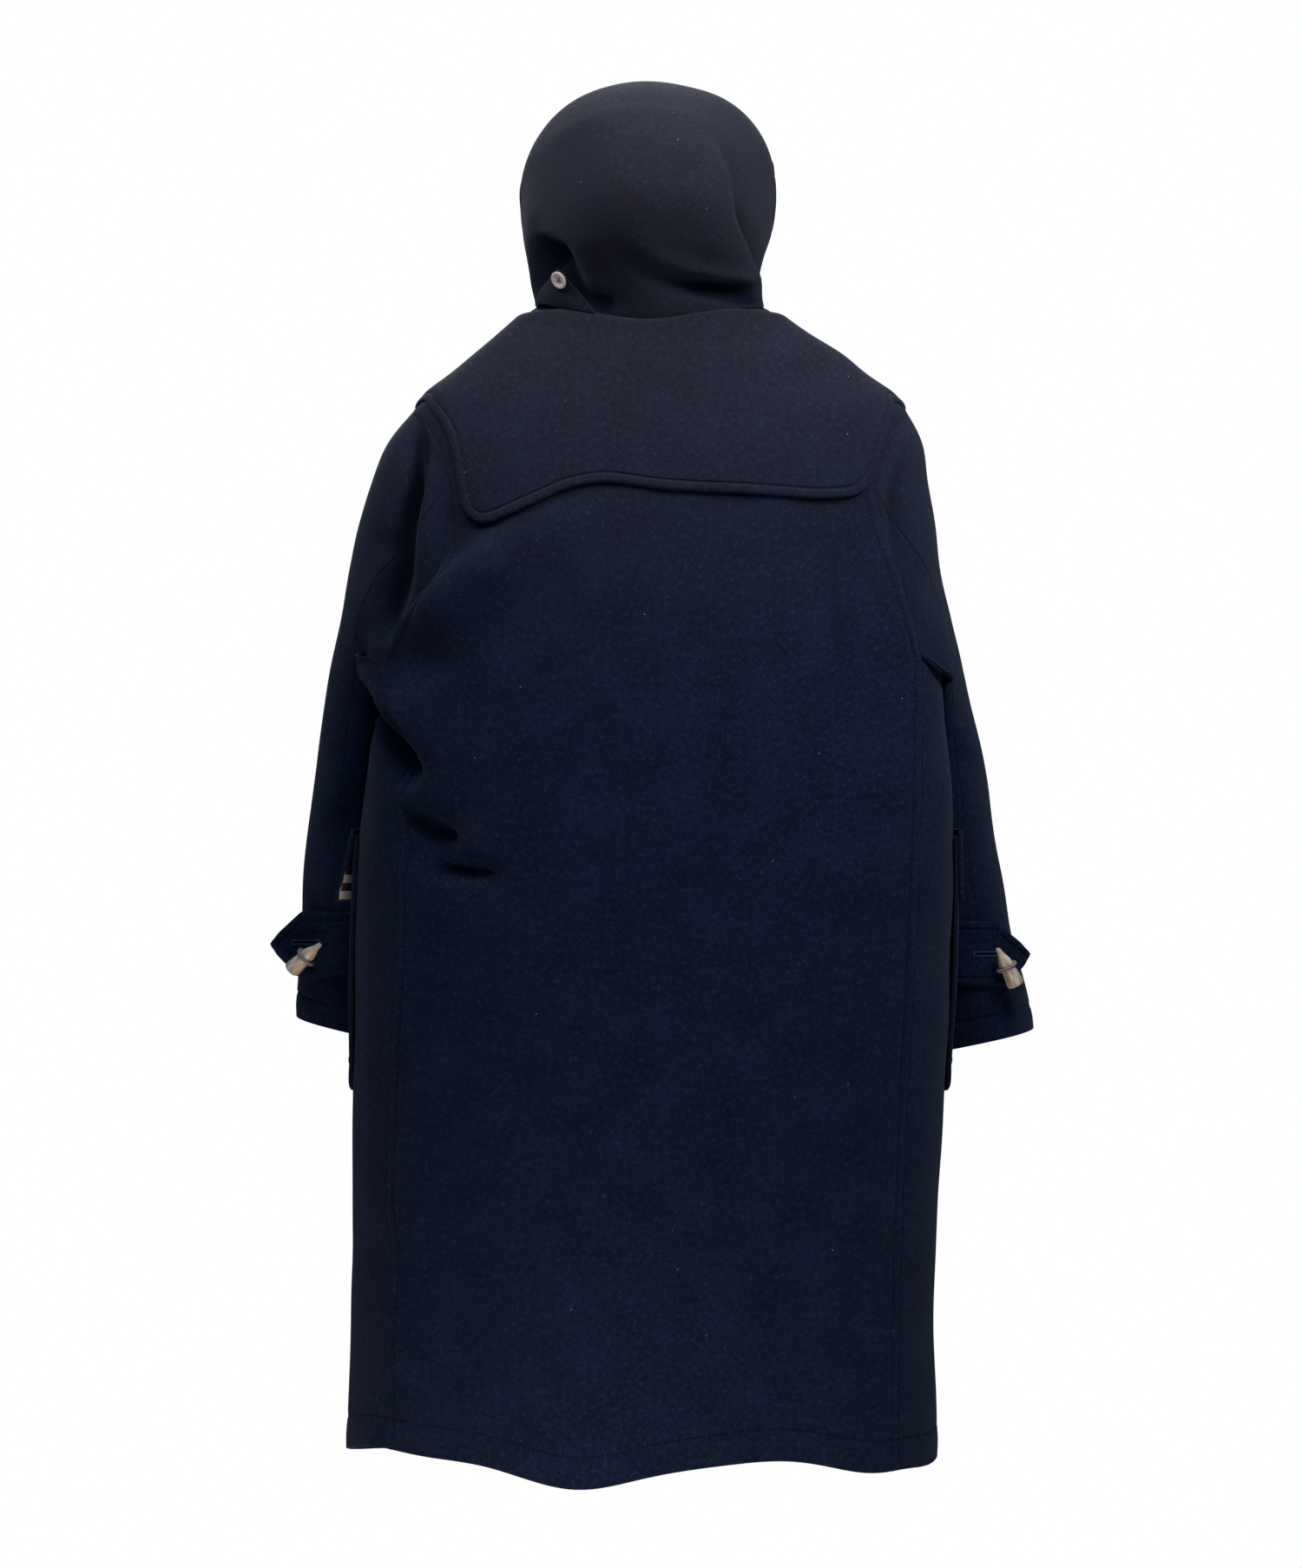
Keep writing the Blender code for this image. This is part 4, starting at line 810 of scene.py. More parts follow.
def yokeEdge():
    # turn and level at even steps along the edge, softened over nine of them
    turns, edgeLevels = [], []
    for rows, behind in ((yoke["frontLeft"], False), (yoke["back"], True), (yoke["frontRight"], False)):
        x, z = np.array(rows, float).T * mm
        turn, level = find(x, z, behind)
        turns.append(np.where(turn < -90, turn + 360, turn))
        edgeLevels.append(level)
    turn, level = np.concatenate(turns), np.concatenate(edgeLevels)
    run = runAlong(plainBody(turn, level))
    at = np.linspace(0, run[-1], yoke["around"] + 1)
    even = (np.interp(at, run, line) for line in (turn, level))
    padded = (np.pad(line, 4, mode="reflect", reflect_type="odd") for line in even)
    return [np.convolve(line, np.ones(9) / 9, "valid") for line in padded]


def makeYoke():
    # rows run from the lower edge to the neck, over the panels, with fullness at the right shoulder
    turn, level = yokeEdge()
    down = (stations(yoke["down"], 0.006, end=False, extra=yoke["downRows"]) / yoke["down"])[:, None]
    sideways = np.abs(np.cos(np.radians(turn)))
    level = level + (1 - yoke["neckDip"] * sideways**12 - level) * down
    turn = np.broadcast_to(turn, level.shape)
    lift = yoke["lie"] + yoke["thickness"] + frontLap(turn, 1) * (turn < 0)
    at, spread, height = yoke["swell"]
    bell = np.exp(-(((section(level, turn)[3] - at) / spread) ** 2))
    lift = lift + height * ease(0.5, 1, -np.cos(np.radians(turn))) * bell
    lift = lift - yoke["sink"] * ease(0.9, 1, sideways) * (1 - ease(0, 0.15, down))
    surface = body(turn, level, lift)
    surface[..., 2] += yoke["rise"] * ease(0.85, 1, down) * (1 - sideways**2)
    reach = distances(surface)
    fromEdge = np.stack([np.linalg.norm(row[:, None] - surface[0], axis=-1).min(axis=1) for row in surface])
    reach["bottom"] = np.where(reach["bottom"] < yoke["foldedEdge"], fromEdge, reach["bottom"])
    edges = {"bottom": ("free", yoke["stitch"]), "left": ("free", 0), "right": ("free", 0),
             "top": ("sewn", 0)}
    cut = np.stack([-surface[..., 0], surface[..., 2]], axis=-1)
    piece = workedWall("yokePanel", surface, bodyNormal(turn, level), edges, yoke["thickness"],
                       woolShader("yokeWool"), cut, reach)
    return dress(piece, "yoke")


yokePiece = makeYoke()
print("yoke made")


hood = {
    # arcs from the neck seam to the rim: their centre, how far out they reach left and right, the place of
    # their middle behind, and the turn at which they start
    "columns": ("centreY", "centreZ", "left", "right", "midY", "midZ", "start"),
    "sections": [(-5, 0, 104, 110, 65, -17, -60), (-20, 22, 109, 106, 88, 26, -54),
                 (-44, 46, 113, 110, 118, 66, -38), (-76, 70, 117, 117, 132, 108, -16),
                 (-94, 92, 119, 120, 118, 153, -2), (-100, 105, 120, 121, 80, 190, 4),
                 (-105, 114, 114, 120, 15, 210, 8), (-110, 119, 104, 119, -62, 213, 10)],
    "square": 2.15, "frontShare": 0.5, "seamGap": 0.2 * mm, "height": 0.36, "around": 0.5, "step": 3.0 * mm,
    "rimRows": (24, 25, 26, 27, 28.5, 31), "rimStitch": 26 * mm, "inside": (0, -0.02, 0.09),
    "uneven": 0.8 * mm,
    # soft folds: start, end, width, height in mm, seen from behind
    "folds": [(46, 3, 34, 2, 9, -5)],
    # creases as on the body
    "creases": [
        [(-34, 170, 0, 22, 14), (-50, 150, 4, 22, 10), (-62, 136, 8, 24, 7), (-68, 122, 12, 26, 4.5),
         (-70, 110, 13, 28, 3.5), (-71.5, 97, 14, 30, 3), (-75, 79, 14, 30, 3), (-84, 63, 14, 30, 3),
         (-94, 42, 13, 30, 3), (-102, 24, 12, 28, 3), (-110, 2, 8, 24, 4)],
        [(-62, 150, 0, 8, 16), (-74, 122, -4, 6, 16), (-76, 104, -6, 5, 16), (-80, 82, -12, 4, 15),
         (-88, 64, -15, 4, 13), (-100, 40, -9, 5, 12), (-108, 18, -3, 6, 10)],
        [(109, 70, -5, 12, 14), (108, 54, -19, 13, 18), (105, 38, -24, 13, 18), (109, 20, -20, 9, 14),
         (112, 4, -14, 8, 12)],
        [(105, 48, -6, 12, 12), (90, 41, -16, 12, 15), (75, 26, -16, 11, 12), (63, 12, -9, 9, 9)],
        [(60, 6, -7, 8, 9), (42, 0, -15, 7, 9), (26, -3, -4, 8, 9)],
        [(20, 44, -2, 9, 16), (-10, 24, -5, 8, 14), (-42, 15, -12, 8, 12), (-66, 14, -19, 9, 9),
         (-92, 8, -17, 8, 8), (-106, 4, -8, 7, 7)],
        [(30, 60, 0, 20, 20), (-10, 42, 4, 14, 10), (-50, 32, 6, 14, 8), (-80, 30, 5, 12, 8)],
        [(106, 150, 0, 12, 12), (84, 172, -2, 8, 14), (30, 192, -2.5, 8, 14), (-30, 190, -2.5, 8, 14),
         (-78, 170, -2, 8, 14), (-100, 140, 0, 12, 12)],
    ]}
hoodTable = table(hood["columns"], hood["sections"])


def hoodArc(at, turn):
    # a rounded-square arc, shallower in front, tipped by the heights of its middle
    c, s = (np.sign(v) * np.abs(v) ** (2 / hood["square"]) for v in cosSin(turn))
    s = np.where(s < 0, s * hood["frontShare"], s)
    y = at["centreY"] + (at["midY"] - at["centreY"]) * s
    z = at["centreZ"] + (at["midZ"] - at["centreZ"]) * s
    return np.stack(np.broadcast_arrays(np.where(c >= 0, at["left"], at["right"]) * c, y, z), axis=-1) * mm


def hoodSurface(row, share):
    # an arc at each row, eased near the neck so that the first one lies on the panels' top edge
    knots = np.linspace(0, 1, len(hood["sections"]))
    at = {name: curve(knots, hoodTable[name], row) for name in hood["columns"]}
    point = hoodArc(at, at["start"] + (180 - 2 * at["start"]) * share)
    first = {name: hoodTable[name][0] for name in hood["columns"]}
    firstTurn = first["start"] + (180 - 2 * first["start"]) * share
    lift = frontLap(firstTurn, 1) * (firstTurn < 0)
    seam = body(firstTurn, np.ones(np.shape(firstTurn)), lift) + np.array([0, 0, hood["seamGap"]])
    return point + (1 - ease(0, 0.3, row))[..., None] * (seam - hoodArc(first, firstTurn))


def makeHood():
    # rows of arcs moved along their normal by the folds, creases and slight waves; the tab needs both faces
    down = stations(hood["height"], hood["step"], extra=hood["rimRows"]) / hood["height"]
    around = stations(hood["around"], hood["step"]) / hood["around"]
    row, share = np.meshgrid(down, around, indexing="ij")
    plain = hoodSurface(row, share)
    plainNormal = gridNormal(plain, hood["inside"])
    x, y, z = np.moveaxis(plain, -1, 0)
    behind = ease(-0.02, 0.03, y) * ease(0, 0.12, row)
    height, deep = creased(x, z, hood["creases"])
    uneven = unevenness(plain, hood["uneven"]) * ease(0, 0.1, row)
    out = behind * (bellLines(x, z, hood["folds"]) + height) + uneven
    surface = plain + plainNormal * out[..., None]
    normal = gridNormal(surface, hood["inside"])
    edges = {"bottom": ("sewn", 0), "top": ("free", hood["rimStitch"]), "left": ("free", cloth["stitchIn"]),
             "right": ("free", cloth["stitchIn"])}
    outerLift, innerLift, seams = worked(surface, edges, cloth["thickness"])
    outer, inner = surface + normal * outerLift[..., None], surface + normal * innerLift[..., None]
    inner[0] = neckInside(outer[0])
    piece = wallPiece("hoodShell", outer, inner, panelCut(surface), seams, woolShader("hoodWool"),
                      deep * ease(-0.08, -0.01, surface[..., 1]))
    return dress(piece, "hood"), (outer, normal), (plain, plainNormal)


hoodPiece, *hoodFaces = makeHood()
print("hood made")


sleeve = {
    # below the cap: how far out each sleeve reaches, its half-width and half-depth, where its middle lies,
    # how much its outer side rises, and how far it is turned in degrees
    "columns": ("z", "outerLeft", "outerRight", "halfWidth", "halfDepth", "y", "rise", "yaw"),
    "sections": [(-345, 297, 296, 60, 76, -82, 0, 22), (-450, 312, 317, 58, 73, -100, 4, 22),
                 (-560, 323, 337, 56, 69, -114, 8, 20), (-672, 330, 359, 54, 66, -124, 12, 16)],
    "turn": 15, "ringShift": 1.5, "innerDrop": 60 * mm, "capRows": 7, "rows": 7, "spread": (10, 50),
    "softening": 6, "clearance": 12 * mm, "ringPoints": 14, "seam": 8, "hemStitch": 24 * mm,
    "uneven": 1.4 * mm, "steps": (4.5 * mm, 3.2 * mm), "cuffRows": (22, 23.2, 24, 24.8, 26, 28),
    # how much narrower each sleeve hangs on its outer side, and how much lower its cuff: z, left, right in mm
    "trim": [(-98, 0, 0), (-120, 2, 7), (-136, 5, 14), (-152, 9, 19), (-185, 11, 24), (-215, 12, 25),
             (-245, 11, 22), (-270, 7, 14), (-298, 1, 3), (-330, -4, -4), (-365, -6, -7), (-400, -5, -6),
             (-440, -2, -3), (-560, 0, 0), (-620, 0, -4), (-700, 0, -5)],
    "lower": {"left": 5 * mm, "right": 16 * mm}, "lowerFrom": 120 * mm,
    # creases of each sleeve as seen from behind
    "left": [
        [(215, -100, 0, 8, 6), (206, -128, -17, 12, 5), (211, -161, -22, 12, 5), (220, -190, -22, 13, 6),
         (225, -219, -19, 13, 7), (228, -250, -18, 13, 8), (236, -280, -14, 13, 9), (244, -316, 0, 13, 11)],
        [(262, -214, 0, 16, 16), (245, -222, -4, 12, 14), (232, -232, 0, 16, 16)],
        [(300, -330, 0, 26, 26), (284, -352, -3, 22, 24), (262, -372, -4, 20, 22)],
        [(306, -470, 0, 26, 26), (290, -486, -3, 20, 24), (270, -492, -3, 20, 22)],
    ],
    "right": [
        [(-247, -118, 0, 10, 10), (-238, -145, -8, 8, 16), (-229, -165, -9, 7, 16), (-226, -190, -8, 7, 16),
         (-230, -225, -5, 9, 16), (-240, -262, 0, 10, 16)],
        [(-262, -250, 0, 16, 16), (-276, -262, -4, 14, 12), (-292, -262, 0, 16, 16)],
        [(-300, -400, 0, 26, 26), (-284, -420, -3, 22, 24), (-270, -430, 0, 20, 22)],
    ]}
sleeveTable = table(sleeve["columns"], sleeve["sections"])


def sleeveSection(side, z, around):
    # a turned ellipse; around is 0 on the outer side and 90 behind, in degrees
    at = {name: curve(sleeveTable["z"][::-1] * mm, sleeveTable[name][::-1], z) for name in sleeve["columns"]}
    (c, s), (turnC, turnS) = cosSin(around), cosSin(at["yaw"])
    reach = np.hypot(at["halfWidth"] * turnC, at["halfDepth"] * turnS)
    x = (at["outerLeft"] if side > 0 else at["outerRight"]) - reach
    x = x + at["halfWidth"] * c * turnC + at["halfDepth"] * s * turnS
    y = at["y"] - at["halfWidth"] * c * turnS + at["halfDepth"] * s * turnC
    return np.stack(np.broadcast_arrays(side * x * mm, y * mm, z + at["rise"] * c * mm), axis=-1)


def middleAt(z):
    # how far forward or back the middle of the body lies at a height
    return section(levelAt(np.zeros(z.shape), z), np.zeros(z.shape))[4]


def toSleevePlace(points, side):
    # turn, height and distance out from the body's wall
    z = points[..., 2]
    midY = middleAt(z)
    turn = np.degrees(np.arctan2(points[..., 1] - midY, points[..., 0]))
    turn = np.where((side < 0) & (turn < 0), turn + 360, turn)
    wall = plainBody(turn, levelAt(turn, z))
    out = np.hypot(points[..., 0], points[..., 1] - midY) - np.hypot(wall[..., 0], wall[..., 1] - midY)
    return np.stack([turn, z, out], axis=-1)


def fromSleevePlace(place):
    # the way back from turn, height and distance out
    turn, z, out = np.moveaxis(place, -1, 0)
    (c, s), midY = cosSin(turn), middleAt(z)
    wall = plainBody(turn, levelAt(turn, z))
    reach = np.hypot(wall[..., 0], wall[..., 1] - midY) + out
    return np.stack([reach * c, midY + reach * s, z], axis=-1)


def keptClear(place, room, soft=12 * mm):
    # eases places nearer the wall than this room out to it
    out = room + soft * np.log1p(np.exp((place[..., 2] - room) / soft))
    return np.stack([place[..., 0], place[..., 1], out], axis=-1)


def sleeveGrid(side):
    # a cubic cap from the armhole ring to the first section, then the sections, smoothed round each row
    shares = np.linspace(0, 1, sleeve["ringPoints"] + 1)
    ring, away = armholeRing(side, shares)
    count, gap = len(ring), cloth["gap"]
    around = sleeve["turn"] + np.interp(np.arange(count), [-sleeve["ringShift"], sleeve["ringPoints"],
                                                           count - sleeve["ringShift"]], [180, 0, -180])
    start = ring + gap * away
    height = (ring[:, 2] - ring[:, 2].min()) / np.ptp(ring[:, 2])
    c, s = cosSin(sleeve["spread"][0] + (sleeve["spread"][1] - sleeve["spread"][0]) * height)
    leave = away * s[:, None] - np.outer(c, (0, 0, 1))
    firstZ = sleeve["sections"][0][0] * mm - sleeve["innerDrop"] * (1 - cosSin(around)[0]) / 2
    lastZ = sleeve["sections"][-1][0] * mm
    z = firstZ + (lastZ - firstZ) * np.linspace(0, 1, sleeve["rows"] + 1)[:, None]
    tube = keptClear(toSleevePlace(sleeveSection(side, z, around), side), sleeve["clearance"])
    begin, end = toSleevePlace(start, side), tube[0]
    reach = np.linalg.norm(fromSleevePlace(end) - start, axis=1, keepdims=True)
    nearby = 4 * mm
    leaving = (toSleevePlace(start + leave * nearby, side) - begin) / nearby * reach
    arriving = (tube[1] - tube[0]) / (z[0] - z[1])[:, None] * reach
    t = np.linspace(0, 1, sleeve["capRows"] + 1)[:-1, None, None]
    place = np.concatenate([cubic(t, begin, leaving, end, arriving), tube])
    row = np.arange(len(place))[:, None, None]
    share = 0.5 * ease(0, 3, row) * (1 - ease(sleeve["capRows"], sleeve["capRows"] + 3, row))
    least = gap + (sleeve["clearance"] - gap) * np.clip(row[..., 0] / 4, 0, 1)
    for _ in range(sleeve["softening"]):
        place[..., 2] = np.where(place[..., 1] < begin[:, 1], np.maximum(place[..., 2], least), place[..., 2])
        place = place + share * ((np.roll(place, 1, axis=1) + np.roll(place, -1, axis=1)) / 2 - place)
    points = fromSleevePlace(place)
    points[0] = start
    trimZ, *trim = np.array(sleeve["trim"][::-1], dtype=float).T * mm
    reach = np.abs(points[..., 0])
    outward = (reach - reach.min(axis=1, keepdims=True)) / np.ptp(reach, axis=1)[:, None]
    points[..., 0] -= side * np.interp(points[..., 2], trimZ, trim[0 if side > 0 else 1]) * outward**1.5
    return points


def outward(surface, middle):
    # normals of part of a tube, all turned away from the tube's middle line
    normal = gridNormal(surface)
    return normal * np.sign(((surface - middle) * normal).sum())


def makeSleeve(word, side):
    # the coarse grid read finely down and round, in a top and an under stretch that meet at two seams
    coarse = sleeveGrid(side)
    rows, count = coarse.shape[:2]
    length = np.linalg.norm(np.diff(coarse, axis=0), axis=-1).mean(axis=1)
    run = np.concatenate([[0], np.cumsum(length)])
    down = stations(run[-1], sleeve["steps"][0], extra=sleeve["cuffRows"])
    coarse[..., 2] -= (sleeve["lower"][word] * ease(run[-1] - sleeve["lowerFrom"], run[-1], run))[:, None]
    whole = between(coarse, np.interp(down, run, np.arange(rows)))
    middle = whole.mean(axis=1, keepdims=True)
    settle = ease(0.004, 0.03, down)[:, None]
    edges = {"left": ("sewn", 0), "right": ("sewn", 0), "bottom": ("sewn", 0),
             "top": ("free", sleeve["hemStitch"])}
    made = []
    for part, start, end in (("top", sleeve["seam"], count - sleeve["seam"]),
                             ("under", count - sleeve["seam"], count + sleeve["seam"])):
        girth = np.linalg.norm(coarse[8, (start + 1) % count] - coarse[8, start % count]) * (end - start)
        across = start + (end - start) * stations(girth, sleeve["steps"][1]) / girth
        surface = np.moveaxis(between(np.moveaxis(whole, 1, 0), across, closed=True), 0, 1)
        normal = outward(surface, middle)
        behind = ease(0.0, 0.45, normal[..., 1])
        out, deep = creased(surface[..., 0], surface[..., 2], sleeve[word])
        uneven = unevenness(surface, sleeve["uneven"])
        surface = surface + normal * (settle * (behind * out + uneven))[..., None]
        name = f"sleeve{part.title()}{word.title()}"
        piece = workedWall(name, surface, outward(surface, middle), edges, cloth["thickness"],
                           woolShader(name + "Wool"), out=behind * deep)
        made.append(dress(piece, f"sleeve_{part}_{word}"))
    return made


sleeves = {word: makeSleeve(word, side) for word, side in sides.items()}
print("sleeves made")


pocket = {"turns": (3, -52), "top": -0.494, "bottom": -0.733, "corner": 0.030, "lift": 1.4 * mm,
          "stitch": 8 * mm, "bulge": 5 * mm, "curl": {"left": 0, "right": 0}, "girth": 0.27, "step": 5 * mm}
flap = pocket | {"top": -0.488, "bottom": -0.557, "corner": 0.010, "lift": 5.4 * mm, "bulge": 2 * mm,
                 "curl": {"left": 12 * mm, "right": 1 * mm}}


def patchPiece(name, word, side, shape, material):
    # a strip of the front beside the side seam, lower corners rounded, standing out between its sewn edges
    # as the product of two half waves, with its lower corner by the side seam curled out
    share = stations(shape["girth"], shape["step"]) / shape["girth"]
    turn = shape["turns"][0] + (shape["turns"][1] - shape["turns"][0]) * share
    width = runAlong(plainBody(turn, np.full(turn.shape, 0.5)))[-1]
    tall = shape["top"] - shape["bottom"]
    rows = (stations(tall, shape["step"]) / tall)[:, None]
    rounded = quarterDrop(np.minimum(share, 1 - share) * width, shape["corner"])
    z = (shape["bottom"] + rounded) * (1 - rows) + shape["top"] * rows
    turn = sideTurn(turn, side) * np.ones_like(z)
    level = levelAt(turn, z)
    lift = shape["lift"] + frontLap(turn, side) + cloth["thickness"]
    lift = lift + shape["bulge"] * np.sin(np.pi * rows) * np.sin(np.pi * share)
    lift = lift + shape["curl"][word] * (1 - rows) ** 1.3 * (1 - ease(0, 0.26, share))
    edges = {edge: ("free", shape["stitch"]) for edge in ("left", "right", "bottom")} | {"top": ("free", 0)}
    return workedWall(name, body(turn, level, lift), bodyNormal(turn, level), edges, cloth["thickness"],
                      material)


pockets, flaps = {}, {}
for word, side in sides.items():
    pocketName, flapName = f"pocket{word.title()}", f"flap{word.title()}"
    pockets[word] = dress(patchPiece(pocketName, word, side, pocket, woolShader(pocketName + "Wool")),
                          f"pocket_{word}")
    flaps[word] = dress(patchPiece(flapName, word, side, flap, woolShader(flapName + "Wool", lined=True)),
                        f"pocket_flap_{word}")
print("pockets made")


# the strap lies along the arm between two turns round it, then stands free
strap = {"start": 122, "leave": 82, "free": {"left": 0.060, "right": 0.045}, "height": 0.061, "point": 0.030,
         "middle": {"left": -0.5965, "right": -0.6055}, "thickness": 4.0 * mm, "lift": 1.2 * mm,
         "stitch": 8.0 * mm, "round": 9 * mm, "tip": 0.14, "heldPoints": 9, "freePoints": 6, "lines": 9,
         # the worked slit: how far from the tip it starts and ends, and how far above the middle it lies
         "slit": {"left": (0.024, 0.051, 0.0018), "right": (0.028, 0.056, 0.0)}}


def strapPath(word, rise=0.0):
    # round the back of the arm at one height, then straight on
    side, z = sides[word], strap["middle"][word] + rise
    around = np.linspace(strap["start"], strap["leave"], strap["heldPoints"])
    path = sleeveSection(side, np.full(around.shape, z), around)
    path[:, 2] = z
    path = fromSleevePlace(keptClear(toSleevePlace(path, side), sleeve["clearance"]))
    tangent = unit(path[-1] - path[-2])
    free = np.linspace(0, strap["free"][word], strap["freePoints"])[1:, None]
    path = np.concatenate([path, path[-1] + tangent * free])
    normal = unit(np.cross(np.gradient(path, axis=0), (0, 0, 1)))
    return path, normal * np.sign(normal[:, 1:2]), tangent


def makeStrap(word):
    # each row follows the arm at its own height; the half-height shrinks straight to a rounded tip
    path, normal, _ = strapPath(word)
    run = runAlong(path)
    fine = stations(run[-1], 0.0025, start=False)
    at = np.interp(fine, run, np.arange(len(path)))
    fromTip, tall = run[-1] - fine, strap["height"] / 2
    half = tall * np.clip(strap["tip"] + (1 - strap["tip"]) * fromTip / strap["point"], 0, 1)
    half = half * np.sqrt(1 - np.clip(1 - fromTip / strap["round"], 0, 0.995) ** 2)
    upTo = stations(strap["height"], 0.003) / tall - 1
    heights = np.linspace(-tall, tall, strap["lines"])
    lines = np.stack([between(strapPath(word, height)[0], at) for height in heights])
    place = (upTo[:, None] * half / tall + 1) * (len(lines) - 1) / 2
    row, column = np.clip(place.astype(int), 0, len(lines) - 2), np.arange(len(fine))
    surface = lines[row, column] + (lines[row + 1, column] - lines[row, column]) * (place - row)[..., None]
    out = unit(between(normal, at))
    surface = surface + out * (strap["lift"] + strap["thickness"])
    surface[..., 2] = between(path, at)[:, 2] + upTo[:, None] * half
    reach = distances(surface)
    slant = np.where(fromTip < strap["point"], np.cos(np.arctan2(tall, strap["point"])), 1.0)
    reach["bottom"], reach["top"] = reach["bottom"] * slant, reach["top"] * slant
    edges = {"bottom": ("free", strap["stitch"]), "top": ("free", strap["stitch"]), "right": ("free", 0)}
    cut = np.stack(np.broadcast_arrays(fromTip, upTo[:, None] * half), axis=-1)
    name = f"cuffStrap{word.title()}"
    piece = workedWall(name, surface, np.broadcast_to(out, surface.shape), edges, strap["thickness"],
                       woolShader(name + "Wool", slot=strap["slit"][word]), cut, reach)
    return dress(piece, f"cuff_strap_{word}")


straps = {word: makeStrap(word) for word in sides}
print("cuff straps made")


cuffToggle = {"length": 0.040, "fat": 0.0085, "waist": 0.0068, "tip": 0.0022, "cord": 1.8 * mm,
              "bend": 1.2 * mm,
              # how far along the free end it sits, how far below the middle, and how it hangs: on and down
              "onwards": {"left": 0.0165, "right": 0.0145}, "below": 0.012,
              "hang": {"left": (0.78, 0.62), "right": (0.50, 0.87)}}
frontToggle = {"length": 0.050, "fat": 0.0085, "waist": 0.0068, "tip": 0.0034, "cord": 1.4 * mm,
               "bend": 1.6 * mm}
# along the horn: which of its sizes holds there, and what share of it
hornProfile = [(0, "tip", 0.72), (0.03, "tip", 1.0), (0.12, "tip", 1.3), (0.35, "waist", 0.95),
               (0.55, "waist", 1.04), (0.75, "fat", 0.93), (0.95, "fat", 1.0), (1.0, "fat", 0.985)]


def placeAt(centre, axis, up):
    # three axes as rows, the last along the axis given, and the centre
    z = unit(np.asarray(axis, float))
    y = unit(np.cross(z, up))
    return np.stack([np.cross(y, z), y, z]), centre


def hornPiece(name, sizes, centre, axis, up, material):
    # a horn tip: radius grows from the tip to the cut fat end, and the middle line bends a little
    axes, middle = placeAt(centre, axis, up)
    s = np.concatenate([[0, 0.006, 0.02, 0.045], np.linspace(0.09, 0.95, 40), [0.972, 0.988, 0.997, 1.0]])
    radius = curve(np.array([at for at, _, _ in hornProfile]),
                   np.array([sizes[word] * share for _, word, share in hornProfile]), s)
    radius = (radius * np.where(s > 0.96, 1 - 0.12 * ((s - 0.96) / 0.04) ** 2, 1))[:, None]
    angle = np.linspace(0, 2 * np.pi, 32, endpoint=False)
    facets = 1 + 0.02 * np.cos(3 * angle + 0.7) + 0.012 * np.cos(7 * angle)
    ring = np.stack([radius * facets * np.cos(angle) + sizes["bend"] * (1 - (2 * s[:, None] - 1) ** 2),
                     radius * facets * np.sin(angle) * 0.94,
                     (s[:, None] - 0.5) * sizes["length"] * np.ones_like(angle)], axis=-1)
    return roundPiece(name, ring @ axes + middle, material, s * sizes["length"])


def ringPath(sizes, centre, axis, up):
    # one turn of cord round the toggle's waist
    axes, middle = placeAt(centre, axis, up)
    angle = np.linspace(0, 2 * np.pi, 48)
    radius = sizes["waist"] + sizes["cord"]
    return np.stack([radius * np.cos(angle), radius * np.sin(angle), 0 * angle], axis=-1) @ axes + middle


def makeCuffToggle(word):
    # the toggle lies on the strap's free end, at a cord ring's distance
    path, normal, tangent = strapPath(word)
    out, down = normal[-1], np.array([0, 0, -1])
    ring = cuffToggle["waist"] + cloth["gap"] + 2 * cuffToggle["cord"]
    centre = path[strap["heldPoints"] - 1] + out * (strap["lift"] + strap["thickness"] + cloth["gap"] + ring)
    centre = centre + tangent * cuffToggle["onwards"][word] + down * cuffToggle["below"]
    axis = tangent * cuffToggle["hang"][word][0] + down * cuffToggle["hang"][word][1]
    toggle = hornPiece(f"toggleCuff{word.title()}", cuffToggle, centre, axis, out,
                       hornShader(f"cuffHorn{word.title()}"))
    dress(toggle, f"cuff_toggle_{word}")
    cord = tubePiece(f"toggleCuffCord{word.title()}", ringPath(cuffToggle, centre, axis, out),
                     cuffToggle["cord"], cordShader(f"cuffCord{word.title()}", braid["grey"]))
    dress(cord, f"cuff_toggle_{word}_cord")


for word in sides:
    makeCuffToggle(word)

fastening = {"heights": (-0.235, -0.355, -0.475, -0.595), "toggleX": -0.0222, "patchWidth": 0.036,
             "patchHeight": 0.034, "patchThickness": 2.0 * mm, "patchLift": 1.0 * mm, "patchStitch": 3.6 * mm,
             "patchX": {"left": 0.048, "right": -0.092}, "cord": 1.61 * mm,
             # x, how far above or below the toggle, and how far out from the body, in mm
             "loop": {
                 "left": [(40, 6, 9.3), (12, 11, 9.0), (-10, 10.5, 8.6), (-19.5, 6, 8.2), (-20.5, 0, 8.2)],
                 "right": [(-85, 6, 4.9), (-52, 9, 6.6), (-36, 9, 8.0), (-25, 6, 8.2), (-24, 0, 8.2)]}}
patchEdge = np.array([0, 0.2, 0.5, 1, 2, 3, 3.6, 4.2, 5.5, 8]) * mm  # distances from a patch's edge


def frontPoint(x, z, out):
    # the place on the front at x and z, moved out
    x, z, out = np.broadcast_arrays(np.asarray(x, float), np.asarray(z, float), np.asarray(out, float))
    return body(*find(x, z, False), out)


def patchStations(size, count):
    return np.concatenate([patchEdge, np.linspace(0.011, size - 0.011, count), size - patchEdge[::-1]])


